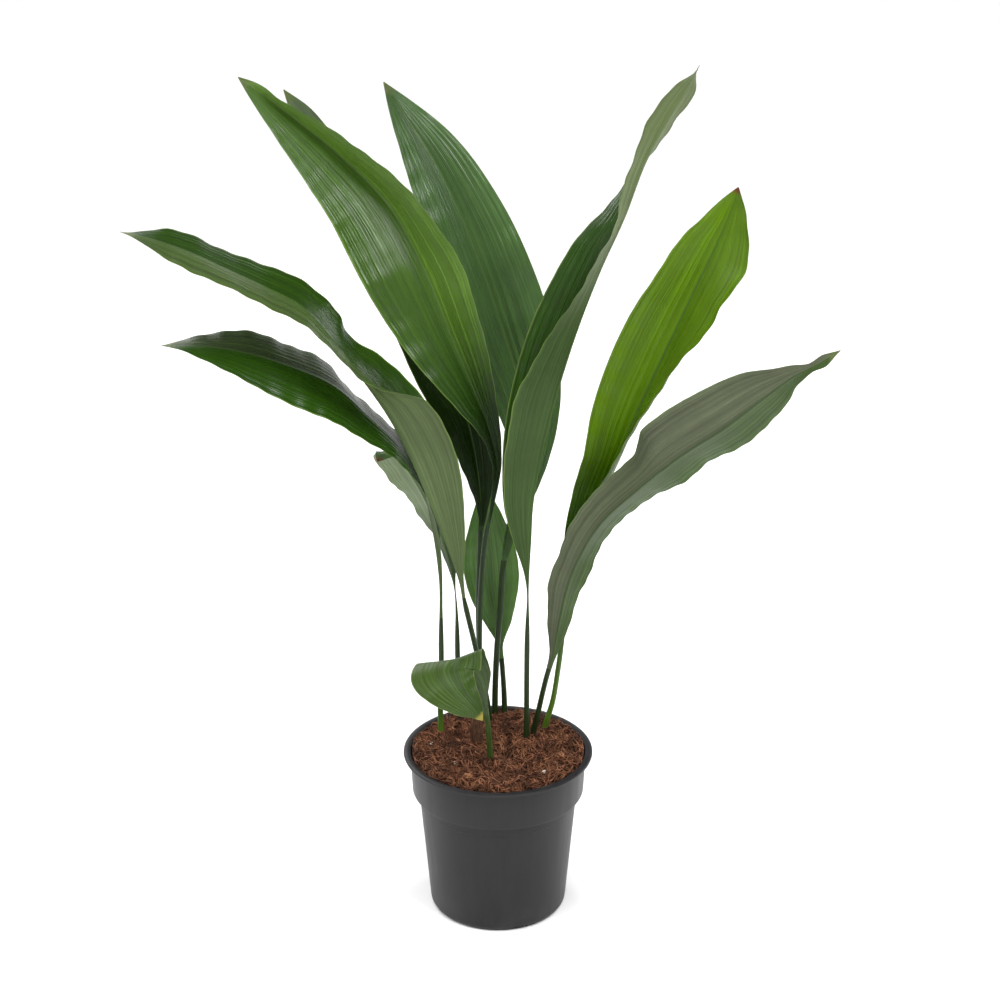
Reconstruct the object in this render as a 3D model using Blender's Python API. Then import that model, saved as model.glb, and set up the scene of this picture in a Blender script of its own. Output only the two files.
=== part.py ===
"""Potted cast iron plant: a nursery pot, its potting mix, the rootstock and eleven leaves.

Metres, +Z up. The origin is the middle of the pot's flat underside and -Y is the plant's front.
Each leaf is one piece as it grew: a round leafstalk that opens into a blade folded along its midrib.
"""
import math

import bmesh
import bpy
import numpy as np
from mathutils import Matrix, Vector

# ---------------------------------------------------------------- driving dimensions
MM = 0.001                     # leaf stations are written in millimetres
FIT_GAP = 0.0004               # clearance between pieces that touch

RIM_RADIUS = 0.0850            # 17 cm nursery pot, measured over the lip
POT_HEIGHT = 0.1525
LIP_THICKNESS = 0.0030
COLLAR_TOP_RADIUS = 0.0790
COLLAR_FOOT_RADIUS = 0.0772
COLLAR_FOOT_HEIGHT = 0.1145
WALL_TOP_RADIUS = 0.0716
WALL_FOOT_RADIUS = 0.0618
BASE_RADIUS = 0.0575
FLOOR_THICKNESS = 0.0020
WALL_THICKNESS = 0.0013
POT_SEGMENTS = 48

DRAIN_COUNT = 4
DRAIN_FIRST_ANGLE = math.radians(-71.0)
DRAIN_SIZE = (0.024, 0.013, 0.004)     # radial length, width, height
DRAIN_RADIUS = 0.060

SOIL_HEIGHT = 0.1485
SOIL_RINGS = (0.018, 0.036, 0.053, 0.066)
HOLLOW_CENTRE = (0.004, 0.004)
HOLLOW_DEPTH = 0.007

STALK_RADIUS = 0.0024
STALK_END = 0.1280             # the leafstalks spring from the rootstock at this height
FOOT_REACH = 60                # and no further than this from the pot's axis, in millimetres
ROOT_RADIUS = 0.0072
ROOT_HEIGHT = 0.1200
BLADE_THICKNESS = 0.0010
MIDRIB_THICKNESS = 0.0020
SPAN_STEPS = 2                 # rings between two stations of a leaf

# The rootstock creeps under the stalks: x, y in millimetres.
ROOT_PATH = ((-54, 18), (-48, 32), (-32, 51), (-12, 58), (8, 58), (28, 48), (37, 34),
             (26, 20), (8, 4), (-6, -14), (-14, -28))

# Each leaf: the compass bearing its upper side faces while it stands upright (degrees from +X),
# the share of the half width that its right half has, the stalk's points (x, y, z), and the
# blade's stations (x, y, z, half width, lift of the left half, lift of the right half).
# Lengths are in millimetres. A lift is the angle in degrees by which a half of the blade rises
# from flat towards its upper side, so 90 and 90 would be a closed book.
LEAVES = {
    "leaf_left_long": (25, 1.0,
        ((-8, 54, 150), (-19, 44, 225), (-28, 36, 272)),
        ((-34, 29, 304, 4, 60, 80), (-44, 18, 343, 16, 60, 80), (-57, 5, 387, 29, 62, 82),
         (-73, -9, 435, 38, 62, 80), (-92, -22, 480, 39, 48, 62), (-106, -29, 505, 38, 15, 45),
         (-119, -36, 527, 36, -8, 32), (-136, -45, 553, 31, -20, 40), (-157, -52, 580, 31, -20, 38),
         (-183, -59, 597, 34, -20, 24), (-213, -66, 614, 33, -18, 20), (-242, -72, 630, 27, -24, 22),
         (-268, -80, 642, 16, -28, 18), (-291, -86, 649, 0.5, 0, 0))),
    "leaf_left_low": (25, 1.0,
        ((-52, 34, 150), (-51, 28, 237)),
        ((-52, 24, 314, 3, 50, 70), (-57, 19, 360, 8, 10, 70), (-67, 13, 408, 13, -25, 65),
         (-83, 1, 442, 22, -34, 25), (-107, -13, 473, 31, -34, 12), (-136, -29, 507, 37, -46, 18),
         (-167, -42, 526, 37, -45, 18), (-203, -52, 541, 30, -38, 25), (-236, -60, 549, 17, -25, 20),
         (-268, -68, 552, 0.5, 0, 0))),
    "leaf_left_curled": (70, 1.0,
        ((-36, 63, 150), (-37, 61, 212)),
        ((-41, 59, 297, 3, 30, 30), (-48, 56, 328, 13, 35, 35), (-58, 52, 359, 24, 25, 25),
         (-70, 46, 389, 29, 20, 15), (-81, 43, 409, 29, 15, 5), (-90, 37, 422, 23, 10, -10),
         (-98, 28, 427, 12, 0, -20), (-104, 22, 420, 0.5, 0, 0))),
    "leaf_centre_broad": (-75, 0.75,
        ((-16, 60, 150), (-17, 60, 217), (-16, 60, 272), (-12, 59, 327)),
        ((-5, 58, 370, 4, 60, 60), (-1, 57, 404, 8, 50, 60), (-7, 55, 436, 15, 48, 50),
         (-21, 53, 475, 29, 36, 45), (-40, 54, 522, 42, 14, 42), (-64, 60, 581, 53, 5, 54),
         (-95, 73, 635, 51, 0, 76), (-132, 83, 671, 40, 0, 84), (-170, 91, 701, 25, 0, 84),
         (-200, 96, 723, 11, 0, 70), (-218, 98, 736, 0.5, 0, 0))),
    "leaf_behind_left": (-75, 0.85,
        ((-12, 66, 150), (-17, 68, 213), (-18, 69, 268), (-16, 70, 327)),
        ((-15, 71, 351, 6, 50, 30), (-18, 72, 393, 20, 45, 30), (-25, 74, 432, 27, 30, 30),
         (-40, 82, 474, 31, 10, 25), (-60, 90, 519, 32, 10, 20), (-86, 101, 576, 29, 10, 15),
         (-118, 110, 623, 26, 10, 15), (-147, 119, 665, 18, 10, 10), (-170, 122, 704, 9, 5, 5),
         (-183, 124, 721, 0.5, 0, 0))),
    "leaf_behind_centre": (-80, 1.0,
        ((-3, 65, 150), (-1, 69, 218), (2, 73, 257), (4, 77, 290)),
        ((7, 81, 318, 7, 60, 50), (13, 86, 345, 11, 60, 50), (22, 92, 378, 18, 50, 40),
         (26, 98, 422, 28, 40, 30), (20, 105, 462, 38, 30, 25), (8, 111, 500, 43, 22, 20),
         (-8, 120, 548, 43, 20, 18), (-31, 131, 606, 38, 18, 18), (-61, 141, 665, 26, 15, 15),
         (-84, 147, 700, 12, 10, 10), (-99, 150, 723, 0.5, 0, 0))),
    "leaf_right_tall": (180, 1.0,
        ((26, 24, 150), (26, 24, 239)),
        ((27, 24, 313, 4, 85, 75), (28, 24, 345, 15, 90, 75), (29, 24, 375, 24, 92, 75),
         (35, 24, 415, 32, 92, 74), (47, 26, 470, 38, 86, 66), (66, 28, 536, 38, 76, 38),
         (85, 30, 588, 32, 70, 20), (104, 32, 632, 26, 35, 20), (121, 34, 679, 24, -12, 35),
         (141, 36, 717, 21, -28, 48), (155, 37, 741, 14, -38, 38), (163, 38, 756, 0.5, 0, 0))),
    "leaf_behind_small": (-90, 1.0,
        ((6, 69, 150), (4, 76, 196)),
        ((2, 81, 217, 3, 25, 25), (0, 85, 241, 14, 25, 25), (-4, 89, 270, 24, 20, 20),
         (-7, 93, 299, 26, 15, 15), (-10, 97, 338, 15, 10, 10), (-13, 100, 370, 0.5, 0, 0))),
    "leaf_right_bright": (-110, 1.0,
        ((43, 42, 150), (50, 43, 178), (55, 44, 213), (60, 46, 259)),
        ((66, 50, 296, 6, 50, 80), (76, 56, 332, 18, 30, 85), (90, 60, 369, 26, 35, 85),
         (105, 61, 405, 34, 40, 84), (121, 61, 448, 40, 25, 74), (142, 62, 499, 43, 20, 60),
         (166, 64, 555, 40, 36, 34), (184, 68, 595, 34, 45, 8), (196, 71, 625, 18, 40, 5),
         (203, 73, 648, 0.5, 0, 0))),
    "leaf_right_low": (80, 1.0,
        ((32, 32, 150), (36, 30, 171), (43, 26, 208)),
        ((49, 22, 235, 4, 30, 30), (54, 17, 270, 13, 40, 25), (64, 9, 320, 22, 50, 42),
         (86, 0, 368, 30, 58, 55), (124, -12, 412, 36, 48, 60), (152, -20, 440, 38, 42, 15),
         (186, -30, 468, 37, 38, 15), (220, -39, 500, 25, 32, 20), (242, -45, 520, 9, 20, 10),
         (253, -48, 527, 4, -30, 35), (264, -50, 534, 6, -60, 60), (276, -52, 543, 0.5, -70, 70))),
    "leaf_front_curled": (90, 1.0,
        ((-7, -17, 150), (-10, -22, 198)),
        ((-12, -24, 215, 5, 50, 50), (-18, -27, 234, 14, 22, 30), (-30, -32, 250, 24, 5, -8),
         (-41, -42, 262, 32, 10, -24), (-46, -55, 258, 31, 8, -24),
         (-41, -66, 251, 25, 4, -14), (-31, -73, 241, 17, 0, -6), (-20, -77, 231, 9, 0, 0), (-13, -78, 222, 0.5, 0, 0))),
}

# A dry, cut-off leaf foot still stands in the mix: x, y, z, radius in millimetres.
DRY_STUB = ((-19, 18, 132, 4.5), (-19, 19, 150, 5.5), (-20, 20, 166, 4.5), (-20, 21, 178, 2.5))

# Loose bits on the mix: centre, half sizes in metres, turn about Z in degrees.
SURFACE_BITS = {
    "bark_chip_front": ((-0.0250, -0.0520, 0.1500), (0.0060, 0.0040, 0.0024), 20),
    "bark_chip_right": ((0.0560, -0.0130, 0.1500), (0.0052, 0.0030, 0.0022), -50),
    "perlite_grain_front": ((0.0405, -0.0440, 0.1503), (0.0020, 0.0016, 0.0016), 10),
    "perlite_grain_left": ((-0.0380, -0.0260, 0.1503), (0.0024, 0.0016, 0.0015), 35),
    "perlite_grain_rim": ((-0.0600, 0.0090, 0.1500), (0.0018, 0.0015, 0.0015), 70),
}

# Base colour, roughness.
COLOURS = {
    "pot": ((0.040, 0.037, 0.041), 0.42),
    "soil": ((0.075, 0.035, 0.022), 0.95),
    "root": ((0.42, 0.33, 0.20), 0.70),
    "leaf": ((0.045, 0.125, 0.018), 0.38),
    "leaf_bright": ((0.11, 0.26, 0.025), 0.42),
    "dry": ((0.14, 0.065, 0.035), 0.85),
    "bark": ((0.28, 0.12, 0.055), 0.85),
    "perlite": ((0.80, 0.74, 0.66), 0.80),
}
BRIGHT_LEAVES = ("leaf_right_bright", "leaf_left_curled", "leaf_front_curled")


def clear_scene():
    for item in list(bpy.data.objects):
        bpy.data.objects.remove(item, do_unlink=True)


def make_material(name, finish):
    colour, roughness = COLOURS[finish]
    material = bpy.data.materials.new(name)
    material.use_nodes = True
    shader = material.node_tree.nodes["Principled BSDF"]
    shader.inputs["Base Color"].default_value = (*colour, 1.0)
    shader.inputs["Roughness"].default_value = roughness
    shader.inputs["Metallic"].default_value = 0.0
    return material


def add_object(name, bm, finish=None, smooth=True):
    """Turn a bmesh into an object of the scene, with its own material if a finish is named."""
    bmesh.ops.recalc_face_normals(bm, faces=bm.faces)
    mesh = bpy.data.meshes.new(name)
    bm.to_mesh(mesh)
    bm.free()
    if smooth:
        mesh.shade_smooth()
        mesh.set_sharp_from_angle(angle=math.radians(40))
    item = bpy.data.objects.new(name, mesh)
    bpy.context.scene.collection.objects.link(item)
    if finish:
        mesh.materials.append(make_material(name, finish))
    return item


def add_cutter(name, bm):
    """A tool body: it cuts its neighbour and is left out of the part."""
    cutter = add_object(name, bm, smooth=False)
    cutter.hide_render = True
    cutter.display_type = "WIRE"
    return cutter


def cut(item, cutter):
    boolean = item.modifiers.new(cutter.name, "BOOLEAN")
    boolean.operation = "DIFFERENCE"
    boolean.solver = "EXACT"
    boolean.object = cutter


def loft(rings):
    """Skin a row of equal rings of points and cap both ends.

    The quads of the first half of a ring and those facing them are split along the same line,
    so that the two sides of a twisted blade never pass through each other.
    """
    bm = bmesh.new()
    loops = [[bm.verts.new(point) for point in ring] for ring in rings]
    count = len(loops[0])
    for near, far in zip(loops, loops[1:]):
        for k in range(count):
            nxt = (k + 1) % count
            if k < count // 2:
                bm.faces.new((near[k], near[nxt], far[nxt]))
                bm.faces.new((near[k], far[nxt], far[k]))
            else:
                bm.faces.new((near[k], near[nxt], far[k]))
                bm.faces.new((near[nxt], far[nxt], far[k]))
    bm.faces.new(loops[0])
    bm.faces.new(loops[-1])
    return bm


def lathe(profile, segments, height=None):
    """Turn a profile that starts and ends on the axis about Z.

    height, if given, adds its value at (x, y) to the points above the mix's edge.
    """
    bm = bmesh.new()
    rings = []
    for radius, z in profile:
        ring = []
        for k in range(segments if radius > 0 else 1):
            angle = 2 * math.pi * k / segments
            x = radius * math.cos(angle)
            y = radius * math.sin(angle)
            ring.append(bm.verts.new((x, y, z + (height(x, y, z) if height else 0.0))))
        rings.append(ring)
    for near, far in zip(rings, rings[1:]):
        for k in range(segments):
            nxt = (k + 1) % segments
            corners = [near[k % len(near)], near[nxt % len(near)], far[nxt % len(far)], far[k % len(far)]]
            bm.faces.new(list(dict.fromkeys(corners)))
    return bm


def smooth_rows(rows, steps):
    """Points on a smooth curve through the rows; the first three columns are the place."""
    rows = np.asarray(rows, float)
    lengths = np.linalg.norm(np.diff(rows[:, :3], axis=0), axis=1)
    slopes = np.diff(rows, axis=0) / lengths[:, None]
    tangents = np.vstack((slopes[:1], rows[1:-1], slopes[-1:]))
    for i in range(1, len(rows) - 1):
        before, after = lengths[i - 1], lengths[i]
        tangents[i] = (slopes[i - 1] * after + slopes[i] * before) / (before + after)
    result = []
    for i, length in enumerate(lengths):
        for j in range(steps):
            t = j / steps
            start = (2 * t ** 3 - 3 * t ** 2 + 1) * rows[i] + (t ** 3 - 2 * t ** 2 + t) * length * tangents[i]
            end = (3 * t ** 2 - 2 * t ** 3) * rows[i + 1] + (t ** 3 - t ** 2) * length * tangents[i + 1]
            result.append(start + end)
    result.append(rows[-1])
    return np.array(result)


def tube_rings(points, radii, sides=8):
    """Round rings along a path, all turned alike so the skin between them stays straight."""
    points = np.asarray(points, float)
    along = np.gradient(points, axis=0)
    along /= np.linalg.norm(along, axis=1)[:, None]
    upright = abs(along[:, 2]).mean() > 0.7
    reference = np.array((1.0, 0.0, 0.0)) if upright else np.array((0.0, 0.0, 1.0))
    rings = []
    for centre, direction, radius in zip(points, along, radii):
        side = reference - direction * (direction @ reference)
        side /= np.linalg.norm(side)
        other = np.cross(direction, side)
        ring = []
        for k in range(sides):
            angle = 2 * math.pi * k / sides
            ring.append(Vector(centre + radius * (math.cos(angle) * side + math.sin(angle) * other)))
        rings.append(ring)
    return rings


def leaf_rows(leaf):
    """The leaf's rows from the rootstock to the tip: x, y, z, half width, lifts."""
    facing, share, stalk, blade = leaf
    left, right = blade[0][4:]
    pull = min(1.0, FOOT_REACH / math.hypot(*stalk[0][:2]))
    foot = (stalk[0][0] * pull, stalk[0][1] * pull, STALK_END / MM)
    stalk_rows = [(*point, STALK_RADIUS / MM, left, right) for point in (foot, *stalk)]
    return smooth_rows(stalk_rows + list(blade), SPAN_STEPS)


def leaf_frames(leaf):
    """Place, direction to the right-hand margin and upper-side normal of each row."""
    rows = leaf_rows(leaf)
    facing = math.radians(leaf[0])
    outward = np.array((-math.sin(facing), math.cos(facing), 0.0))
    along = np.gradient(rows[:, :3], axis=0)
    along /= np.linalg.norm(along, axis=1)[:, None]
    side = outward - along * (along @ outward)[:, None]
    side /= np.linalg.norm(side, axis=1)[:, None]
    return rows, side, np.cross(side, along)


def leaf_ring(row, side, normal, share, opened):
    """Ten points around the leaf: five over its upper side from left to right, five under it.

    opened runs from 0, the round leafstalk, to 1, the flat blade.
    """
    centre = row[:3] * MM
    half = max(row[3] * MM, 0.0004)
    left, right = np.radians(row[4:])
    to_left = -math.cos(left) * side + math.sin(left) * normal
    to_right = math.cos(right) * side + math.sin(right) * normal
    below_left = BLADE_THICKNESS * (-math.sin(left) * side - math.cos(left) * normal)
    below_right = BLADE_THICKNESS * (math.sin(right) * side - math.cos(right) * normal)
    rib = BLADE_THICKNESS + (MIDRIB_THICKNESS - BLADE_THICKNESS) * min(half / 0.02, 1.0)
    sheet = (
        centre + half * to_left,
        centre + 0.5 * half * to_left,
        centre,
        centre + 0.5 * half * share * to_right,
        centre + half * share * to_right,
    )
    drops = (below_left, below_left, -rib * normal, below_right, below_right)
    flat = [*sheet, *reversed([point + drop for point, drop in zip(sheet, drops)])]
    points = []
    for k, spread in enumerate(flat):
        angle = math.pi - (k + 0.5) * 2 * math.pi / len(flat)
        rounded = centre + STALK_RADIUS * (math.cos(angle) * side + math.sin(angle) * normal)
        points.append(Vector((1.0 - opened) * rounded + opened * spread))
    return points


def build_leaf(name, leaf):
    rows, sides, normals = leaf_frames(leaf)
    stalk_end = len(leaf[2]) * SPAN_STEPS
    opened = np.clip((np.arange(len(rows)) - stalk_end) / SPAN_STEPS, 0.0, 1.0)
    share = leaf[1]
    rings = [leaf_ring(*parts) for parts in zip(rows, sides, normals, [share] * len(rows), opened)]
    finish = "leaf_bright" if name in BRIGHT_LEAVES else "leaf"
    return add_object(name, loft(rings), finish)


def inner_wall(clearance=0.0):
    """The inside of the pot from its floor to its mouth, moved in by a clearance."""
    skin = WALL_THICKNESS + clearance
    return [
        (BASE_RADIUS - 0.0010 - clearance, FLOOR_THICKNESS + clearance),
        (WALL_FOOT_RADIUS - skin - 0.0006, 0.0060),
        (WALL_TOP_RADIUS - skin, COLLAR_FOOT_HEIGHT - 0.0020),
        (COLLAR_FOOT_RADIUS - skin, COLLAR_FOOT_HEIGHT + 0.0020),
        (COLLAR_TOP_RADIUS - skin, POT_HEIGHT - LIP_THICKNESS),
    ]


def build_pot():
    """One moulding: flat base, tapered wall, wider collar and a flat lip, with drain notches."""
    lip_foot = POT_HEIGHT - LIP_THICKNESS
    outside = [
        (0.0, 0.0),
        (BASE_RADIUS, 0.0),
        (WALL_FOOT_RADIUS - 0.0016, 0.0014),
        (WALL_FOOT_RADIUS, 0.0050),
        (WALL_TOP_RADIUS, COLLAR_FOOT_HEIGHT - 0.0016),
        (COLLAR_FOOT_RADIUS - 0.0010, COLLAR_FOOT_HEIGHT - 0.0002),
        (COLLAR_FOOT_RADIUS, COLLAR_FOOT_HEIGHT + 0.0010),
        (COLLAR_TOP_RADIUS, lip_foot - 0.0010),
        (COLLAR_TOP_RADIUS + 0.0014, lip_foot + 0.0006),
        (RIM_RADIUS - 0.0008, lip_foot + 0.0008),
        (RIM_RADIUS, POT_HEIGHT - 0.0014),
        (RIM_RADIUS - 0.0008, POT_HEIGHT),
        (COLLAR_TOP_RADIUS - 0.0006, POT_HEIGHT),
    ]
    inside = [*reversed(inner_wall()), (0.0, FLOOR_THICKNESS)]
    pot = add_object("pot", lathe(outside + inside, POT_SEGMENTS), "pot")
    for index in range(DRAIN_COUNT):
        angle = DRAIN_FIRST_ANGLE + index * 2 * math.pi / DRAIN_COUNT
        bm = bmesh.new()
        bmesh.ops.create_cube(bm, size=1.0)
        bmesh.ops.scale(bm, vec=DRAIN_SIZE, verts=bm.verts)
        place = Matrix.Rotation(angle, 4, "Z") @ Matrix.Translation((DRAIN_RADIUS, 0.0, 0.001))
        bmesh.ops.transform(bm, matrix=place, verts=bm.verts)
        cut(pot, add_cutter(f"drain_cutter_{index + 1}", bm))
    return pot


def soil_relief(x, y, z):
    """Unevenness of the mix's top: low waves and the hollow between the stalks."""
    if z < SOIL_HEIGHT - 0.0015:
        return 0.0
    waves = 0.0009 * math.sin(95 * x + 1.3) * math.cos(110 * y - 0.4)
    across = (x - HOLLOW_CENTRE[0]) / 0.016
    deep = (y - HOLLOW_CENTRE[1]) / 0.012
    return waves - HOLLOW_DEPTH * math.exp(-across ** 2 - deep ** 2)


def build_soil():
    """The mix fills the pot to just under its lip."""
    wall = inner_wall(FIT_GAP)[:-1]
    edge_radius = COLLAR_TOP_RADIUS - WALL_THICKNESS - FIT_GAP - 0.0006
    top = [(edge_radius, SOIL_HEIGHT - 0.0020)]
    top += [(radius, SOIL_HEIGHT) for radius in reversed(SOIL_RINGS)]
    profile = [(0.0, FLOOR_THICKNESS + FIT_GAP), *wall, *top, (0.0, SOIL_HEIGHT)]
    return add_object("potting_mix", lathe(profile, 36, soil_relief), "soil")


def root_points():
    return smooth_rows([(x, y, ROOT_HEIGHT / MM) for x, y in ROOT_PATH], 3) * MM


def root_radii(count, extra=0.0):
    """The rootstock is knobbly and tapers to both ends."""
    radii = []
    for k in range(count):
        taper = min(1.0, 0.55 + 0.45 * min(k, count - 1 - k) / 2.0)
        radii.append(ROOT_RADIUS * taper * (0.96 + 0.04 * math.cos(2.1 * k)) + extra)
    return radii


def build_rootstock():
    points = root_points()
    return add_object("rootstock", loft(tube_rings(points, root_radii(len(points)))), "root")


def stub_rings(extra=0.0):
    rows = smooth_rows(DRY_STUB, 2) * MM
    return tube_rings(rows[:, :3], rows[:, 3] + extra, sides=7)


def surface_bit(name, extra=0.0):
    """A rough grain or chip: a coarse ball squeezed to its size and turned."""
    centre, half_sizes, turn = SURFACE_BITS[name]
    bm = bmesh.new()
    bmesh.ops.create_icosphere(bm, subdivisions=1, radius=1.0)
    scale = Matrix.Diagonal([size + extra for size in half_sizes] + [1.0])
    place = Matrix.Translation(centre) @ Matrix.Rotation(math.radians(turn), 4, "Z") @ scale
    bmesh.ops.transform(bm, matrix=place, verts=bm.verts)
    return bm


def hollow_soil(soil):
    """Make room in the mix for everything that stands or lies in it."""
    points = root_points()
    fat_root = tube_rings(points, root_radii(len(points), FIT_GAP))
    fat_root[0] = [point + (fat_root[0][0] - fat_root[1][0]) * 0.2 for point in fat_root[0]]
    fat_root[-1] = [point + (fat_root[-1][0] - fat_root[-2][0]) * 0.2 for point in fat_root[-1]]
    cut(soil, add_cutter("root_cutter", loft(fat_root)))
    for name, leaf in LEAVES.items():
        rows = leaf_rows(leaf)[:, :3] * MM
        buried = rows[rows[:, 2] < SOIL_HEIGHT + 0.020]
        foot = buried[0] - np.array((0.0, 0.0, 0.009))
        path = np.vstack((foot, buried))
        radii = [STALK_RADIUS + FIT_GAP] * len(path)
        cut(soil, add_cutter(f"{name}_cutter", loft(tube_rings(path, radii, sides=12))))
    rings = stub_rings(FIT_GAP)
    rings[0] = [point - Vector((0.0, 0.0, FIT_GAP)) for point in rings[0]]
    cut(soil, add_cutter("stub_cutter", loft(rings)))
    for name in SURFACE_BITS:
        cut(soil, add_cutter(f"{name}_cutter", surface_bit(name, FIT_GAP)))


def main():
    clear_scene()
    build_pot()
    soil = build_soil()
    build_rootstock()
    for name, leaf in LEAVES.items():
        build_leaf(name, leaf)
    add_object("dry_stub", loft(stub_rings()), "dry")
    for name in SURFACE_BITS:
        add_object(name, surface_bit(name), "bark" if name.startswith("bark") else "perlite", smooth=False)
    hollow_soil(soil)


main()
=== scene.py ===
"""Looks of the potted cast iron plant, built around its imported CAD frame.

Lengths are in metres unless a name ends in _MM. +Z is up and -Y is the plant's front.
"""
from __future__ import annotations

import logging
import math
import random
from dataclasses import dataclass
from enum import Enum

import bpy
import numpy as np
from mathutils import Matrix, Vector, noise

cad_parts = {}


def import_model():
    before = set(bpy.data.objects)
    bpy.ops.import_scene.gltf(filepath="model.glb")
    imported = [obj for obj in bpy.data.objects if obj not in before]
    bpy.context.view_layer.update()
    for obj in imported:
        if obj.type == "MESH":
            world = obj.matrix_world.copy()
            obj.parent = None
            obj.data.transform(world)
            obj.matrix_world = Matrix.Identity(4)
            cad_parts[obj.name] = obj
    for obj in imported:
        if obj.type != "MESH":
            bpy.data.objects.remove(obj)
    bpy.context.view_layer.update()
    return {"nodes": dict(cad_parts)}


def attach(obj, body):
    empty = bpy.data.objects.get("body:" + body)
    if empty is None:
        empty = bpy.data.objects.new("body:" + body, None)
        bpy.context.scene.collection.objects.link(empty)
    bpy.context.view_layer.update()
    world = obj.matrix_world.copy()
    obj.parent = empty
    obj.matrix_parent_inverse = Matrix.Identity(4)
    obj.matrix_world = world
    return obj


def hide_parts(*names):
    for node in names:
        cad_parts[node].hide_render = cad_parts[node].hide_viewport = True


Colour = tuple[float, float, float]
Point = tuple[float, float, float]
Profile = tuple[tuple[float, float], ...]
Station = tuple[float, float, float, float, float, float]
Piece = bpy.types.Object
Socket = bpy.types.NodeSocket

MM = 0.001
FULL_TURN = 2 * math.pi
LEVEL = 1e-5
LOG = logging.getLogger("potted_plant")


class Face(Enum):
    """The three skins of a leaf, as the places of their materials on its mesh."""

    UPPER = 0
    UNDER = 1
    STALK = 2


# ------------------------------------------------------------------ working on meshes
def start_piece() -> None:
    """Leave edit mode and deselect everything, so that an operator acts only on what comes next."""
    if bpy.context.object and bpy.context.object.mode != "OBJECT":
        bpy.ops.object.mode_set(mode="OBJECT")
    bpy.ops.object.select_all(action="DESELECT")


def choose(piece: Piece) -> None:
    """Make a piece the active object and the only one selected.

    Args:
        piece: the object that the next operators act on.
    """
    start_piece()
    piece.select_set(True)
    bpy.context.view_layer.objects.active = piece


def name_piece(name: str) -> Piece:
    """Name the active object and its mesh.

    Args:
        name: the piece's name.

    Returns:
        The active object.
    """
    piece = bpy.context.object
    piece.name = name
    piece.data.name = name
    return piece


def settle(piece: Piece) -> None:
    """Put the object at the origin, unturned and unscaled, with its place in its mesh."""
    choose(piece)
    bpy.ops.object.transform_apply(location=True, rotation=True, scale=True)


def get_points(piece: Piece) -> np.ndarray:
    """Read the places of a mesh's points.

    Args:
        piece: the object.

    Returns:
        Rows of x, y and z.
    """
    points = np.empty(len(piece.data.vertices) * 3)
    piece.data.vertices.foreach_get("co", points)
    return points.reshape(-1, 3)


def set_points(piece: Piece, points: np.ndarray) -> None:
    """Give a mesh new places for its points."""
    piece.data.vertices.foreach_set("co", points.astype(np.float32).ravel())
    piece.data.update()


def face_outwards(piece: Piece, flip: bool = False) -> None:
    """Turn the faces of a closed piece outwards.

    Args:
        piece: the object.
        flip: turn every face round as it is, for a thin piece whose faces all point in.
    """
    choose(piece)
    bpy.ops.object.mode_set(mode="EDIT")
    bpy.ops.mesh.select_all(action="SELECT")
    if flip:
        bpy.ops.mesh.flip_normals()
    else:
        bpy.ops.mesh.normals_make_consistent(inside=False)
    bpy.ops.object.mode_set(mode="OBJECT")


def apply_modifier(piece: Piece, kind: str, **values: object) -> None:
    """Add a modifier, set its values and apply it.

    Args:
        piece: the object.
        kind: the modifier's type.
        **values: the modifier's settings.
    """
    choose(piece)
    modifier = piece.modifiers.new(kind.lower(), kind)
    for key, value in values.items():
        setattr(modifier, key, value)
    bpy.ops.object.modifier_apply(modifier=modifier.name)


def smooth(piece: Piece, degrees: float) -> None:
    """Shade the piece smooth up to an angle between faces."""
    choose(piece)
    bpy.ops.object.shade_smooth_by_angle(angle=math.radians(degrees))


def follow_profile(radius: float, height: float, profile: Profile) -> None:
    """Draw the selected ring along a profile, with one extrusion for each of its points.

    Args:
        radius: the ring's radius.
        height: the ring's height.
        profile: the radii and heights that follow.
    """
    for next_radius, next_height in profile:
        bpy.ops.mesh.extrude_edges_move(TRANSFORM_OT_translate={"value": (0, 0, next_height - height)})
        factor = next_radius / radius
        bpy.ops.transform.resize(value=(factor, factor, 1), center_override=(0, 0, next_height))
        radius, height = next_radius, next_height


def split_uprights(cuts: int) -> None:
    """Cut the active object's long upright edges into equal lengths, which rings its walls.

    Args:
        cuts: the number of cuts on each edge.
    """
    piece = bpy.context.object
    bpy.ops.object.mode_set(mode="EDIT")
    bpy.ops.mesh.select_mode(type="EDGE")
    bpy.ops.mesh.select_all(action="DESELECT")
    bpy.ops.object.mode_set(mode="OBJECT")
    points = get_points(piece)
    for edge in piece.data.edges:
        a, b = edge.vertices
        edge.select = bool(abs(points[a, 2] - points[b, 2]) > LEVEL)
    bpy.ops.object.mode_set(mode="EDIT")
    bpy.ops.mesh.subdivide(number_cuts=cuts)
    bpy.ops.object.mode_set(mode="OBJECT")


def ringed_tube(name: str, around: int, first_cuts: int, second_cuts: int) -> tuple:
    """Model an upright tube with closed ends and many rings, to be laid along a path.

    Args:
        name: the piece's name.
        around: points in each ring.
        first_cuts: cuts of the whole height.
        second_cuts: cuts of each length that the first cuts leave.

    Returns:
        The object, each point's place around its ring, each point's ring, and the number of rings.
    """
    start_piece()
    bpy.ops.mesh.primitive_cylinder_add(vertices=around, radius=1.0, depth=1.0, end_fill_type="NGON")
    piece = name_piece(name)
    split_uprights(first_cuts)
    split_uprights(second_cuts)
    points = get_points(piece)
    rings = (first_cuts + 1) * (second_cuts + 1) + 1
    angle = np.arctan2(points[:, 1], points[:, 0])
    place = np.rint((math.pi - angle) / (FULL_TURN / around)).astype(int) % around
    ring = np.rint((points[:, 2] + 0.5) * (rings - 1)).astype(int)
    return piece, place, ring, rings


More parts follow.
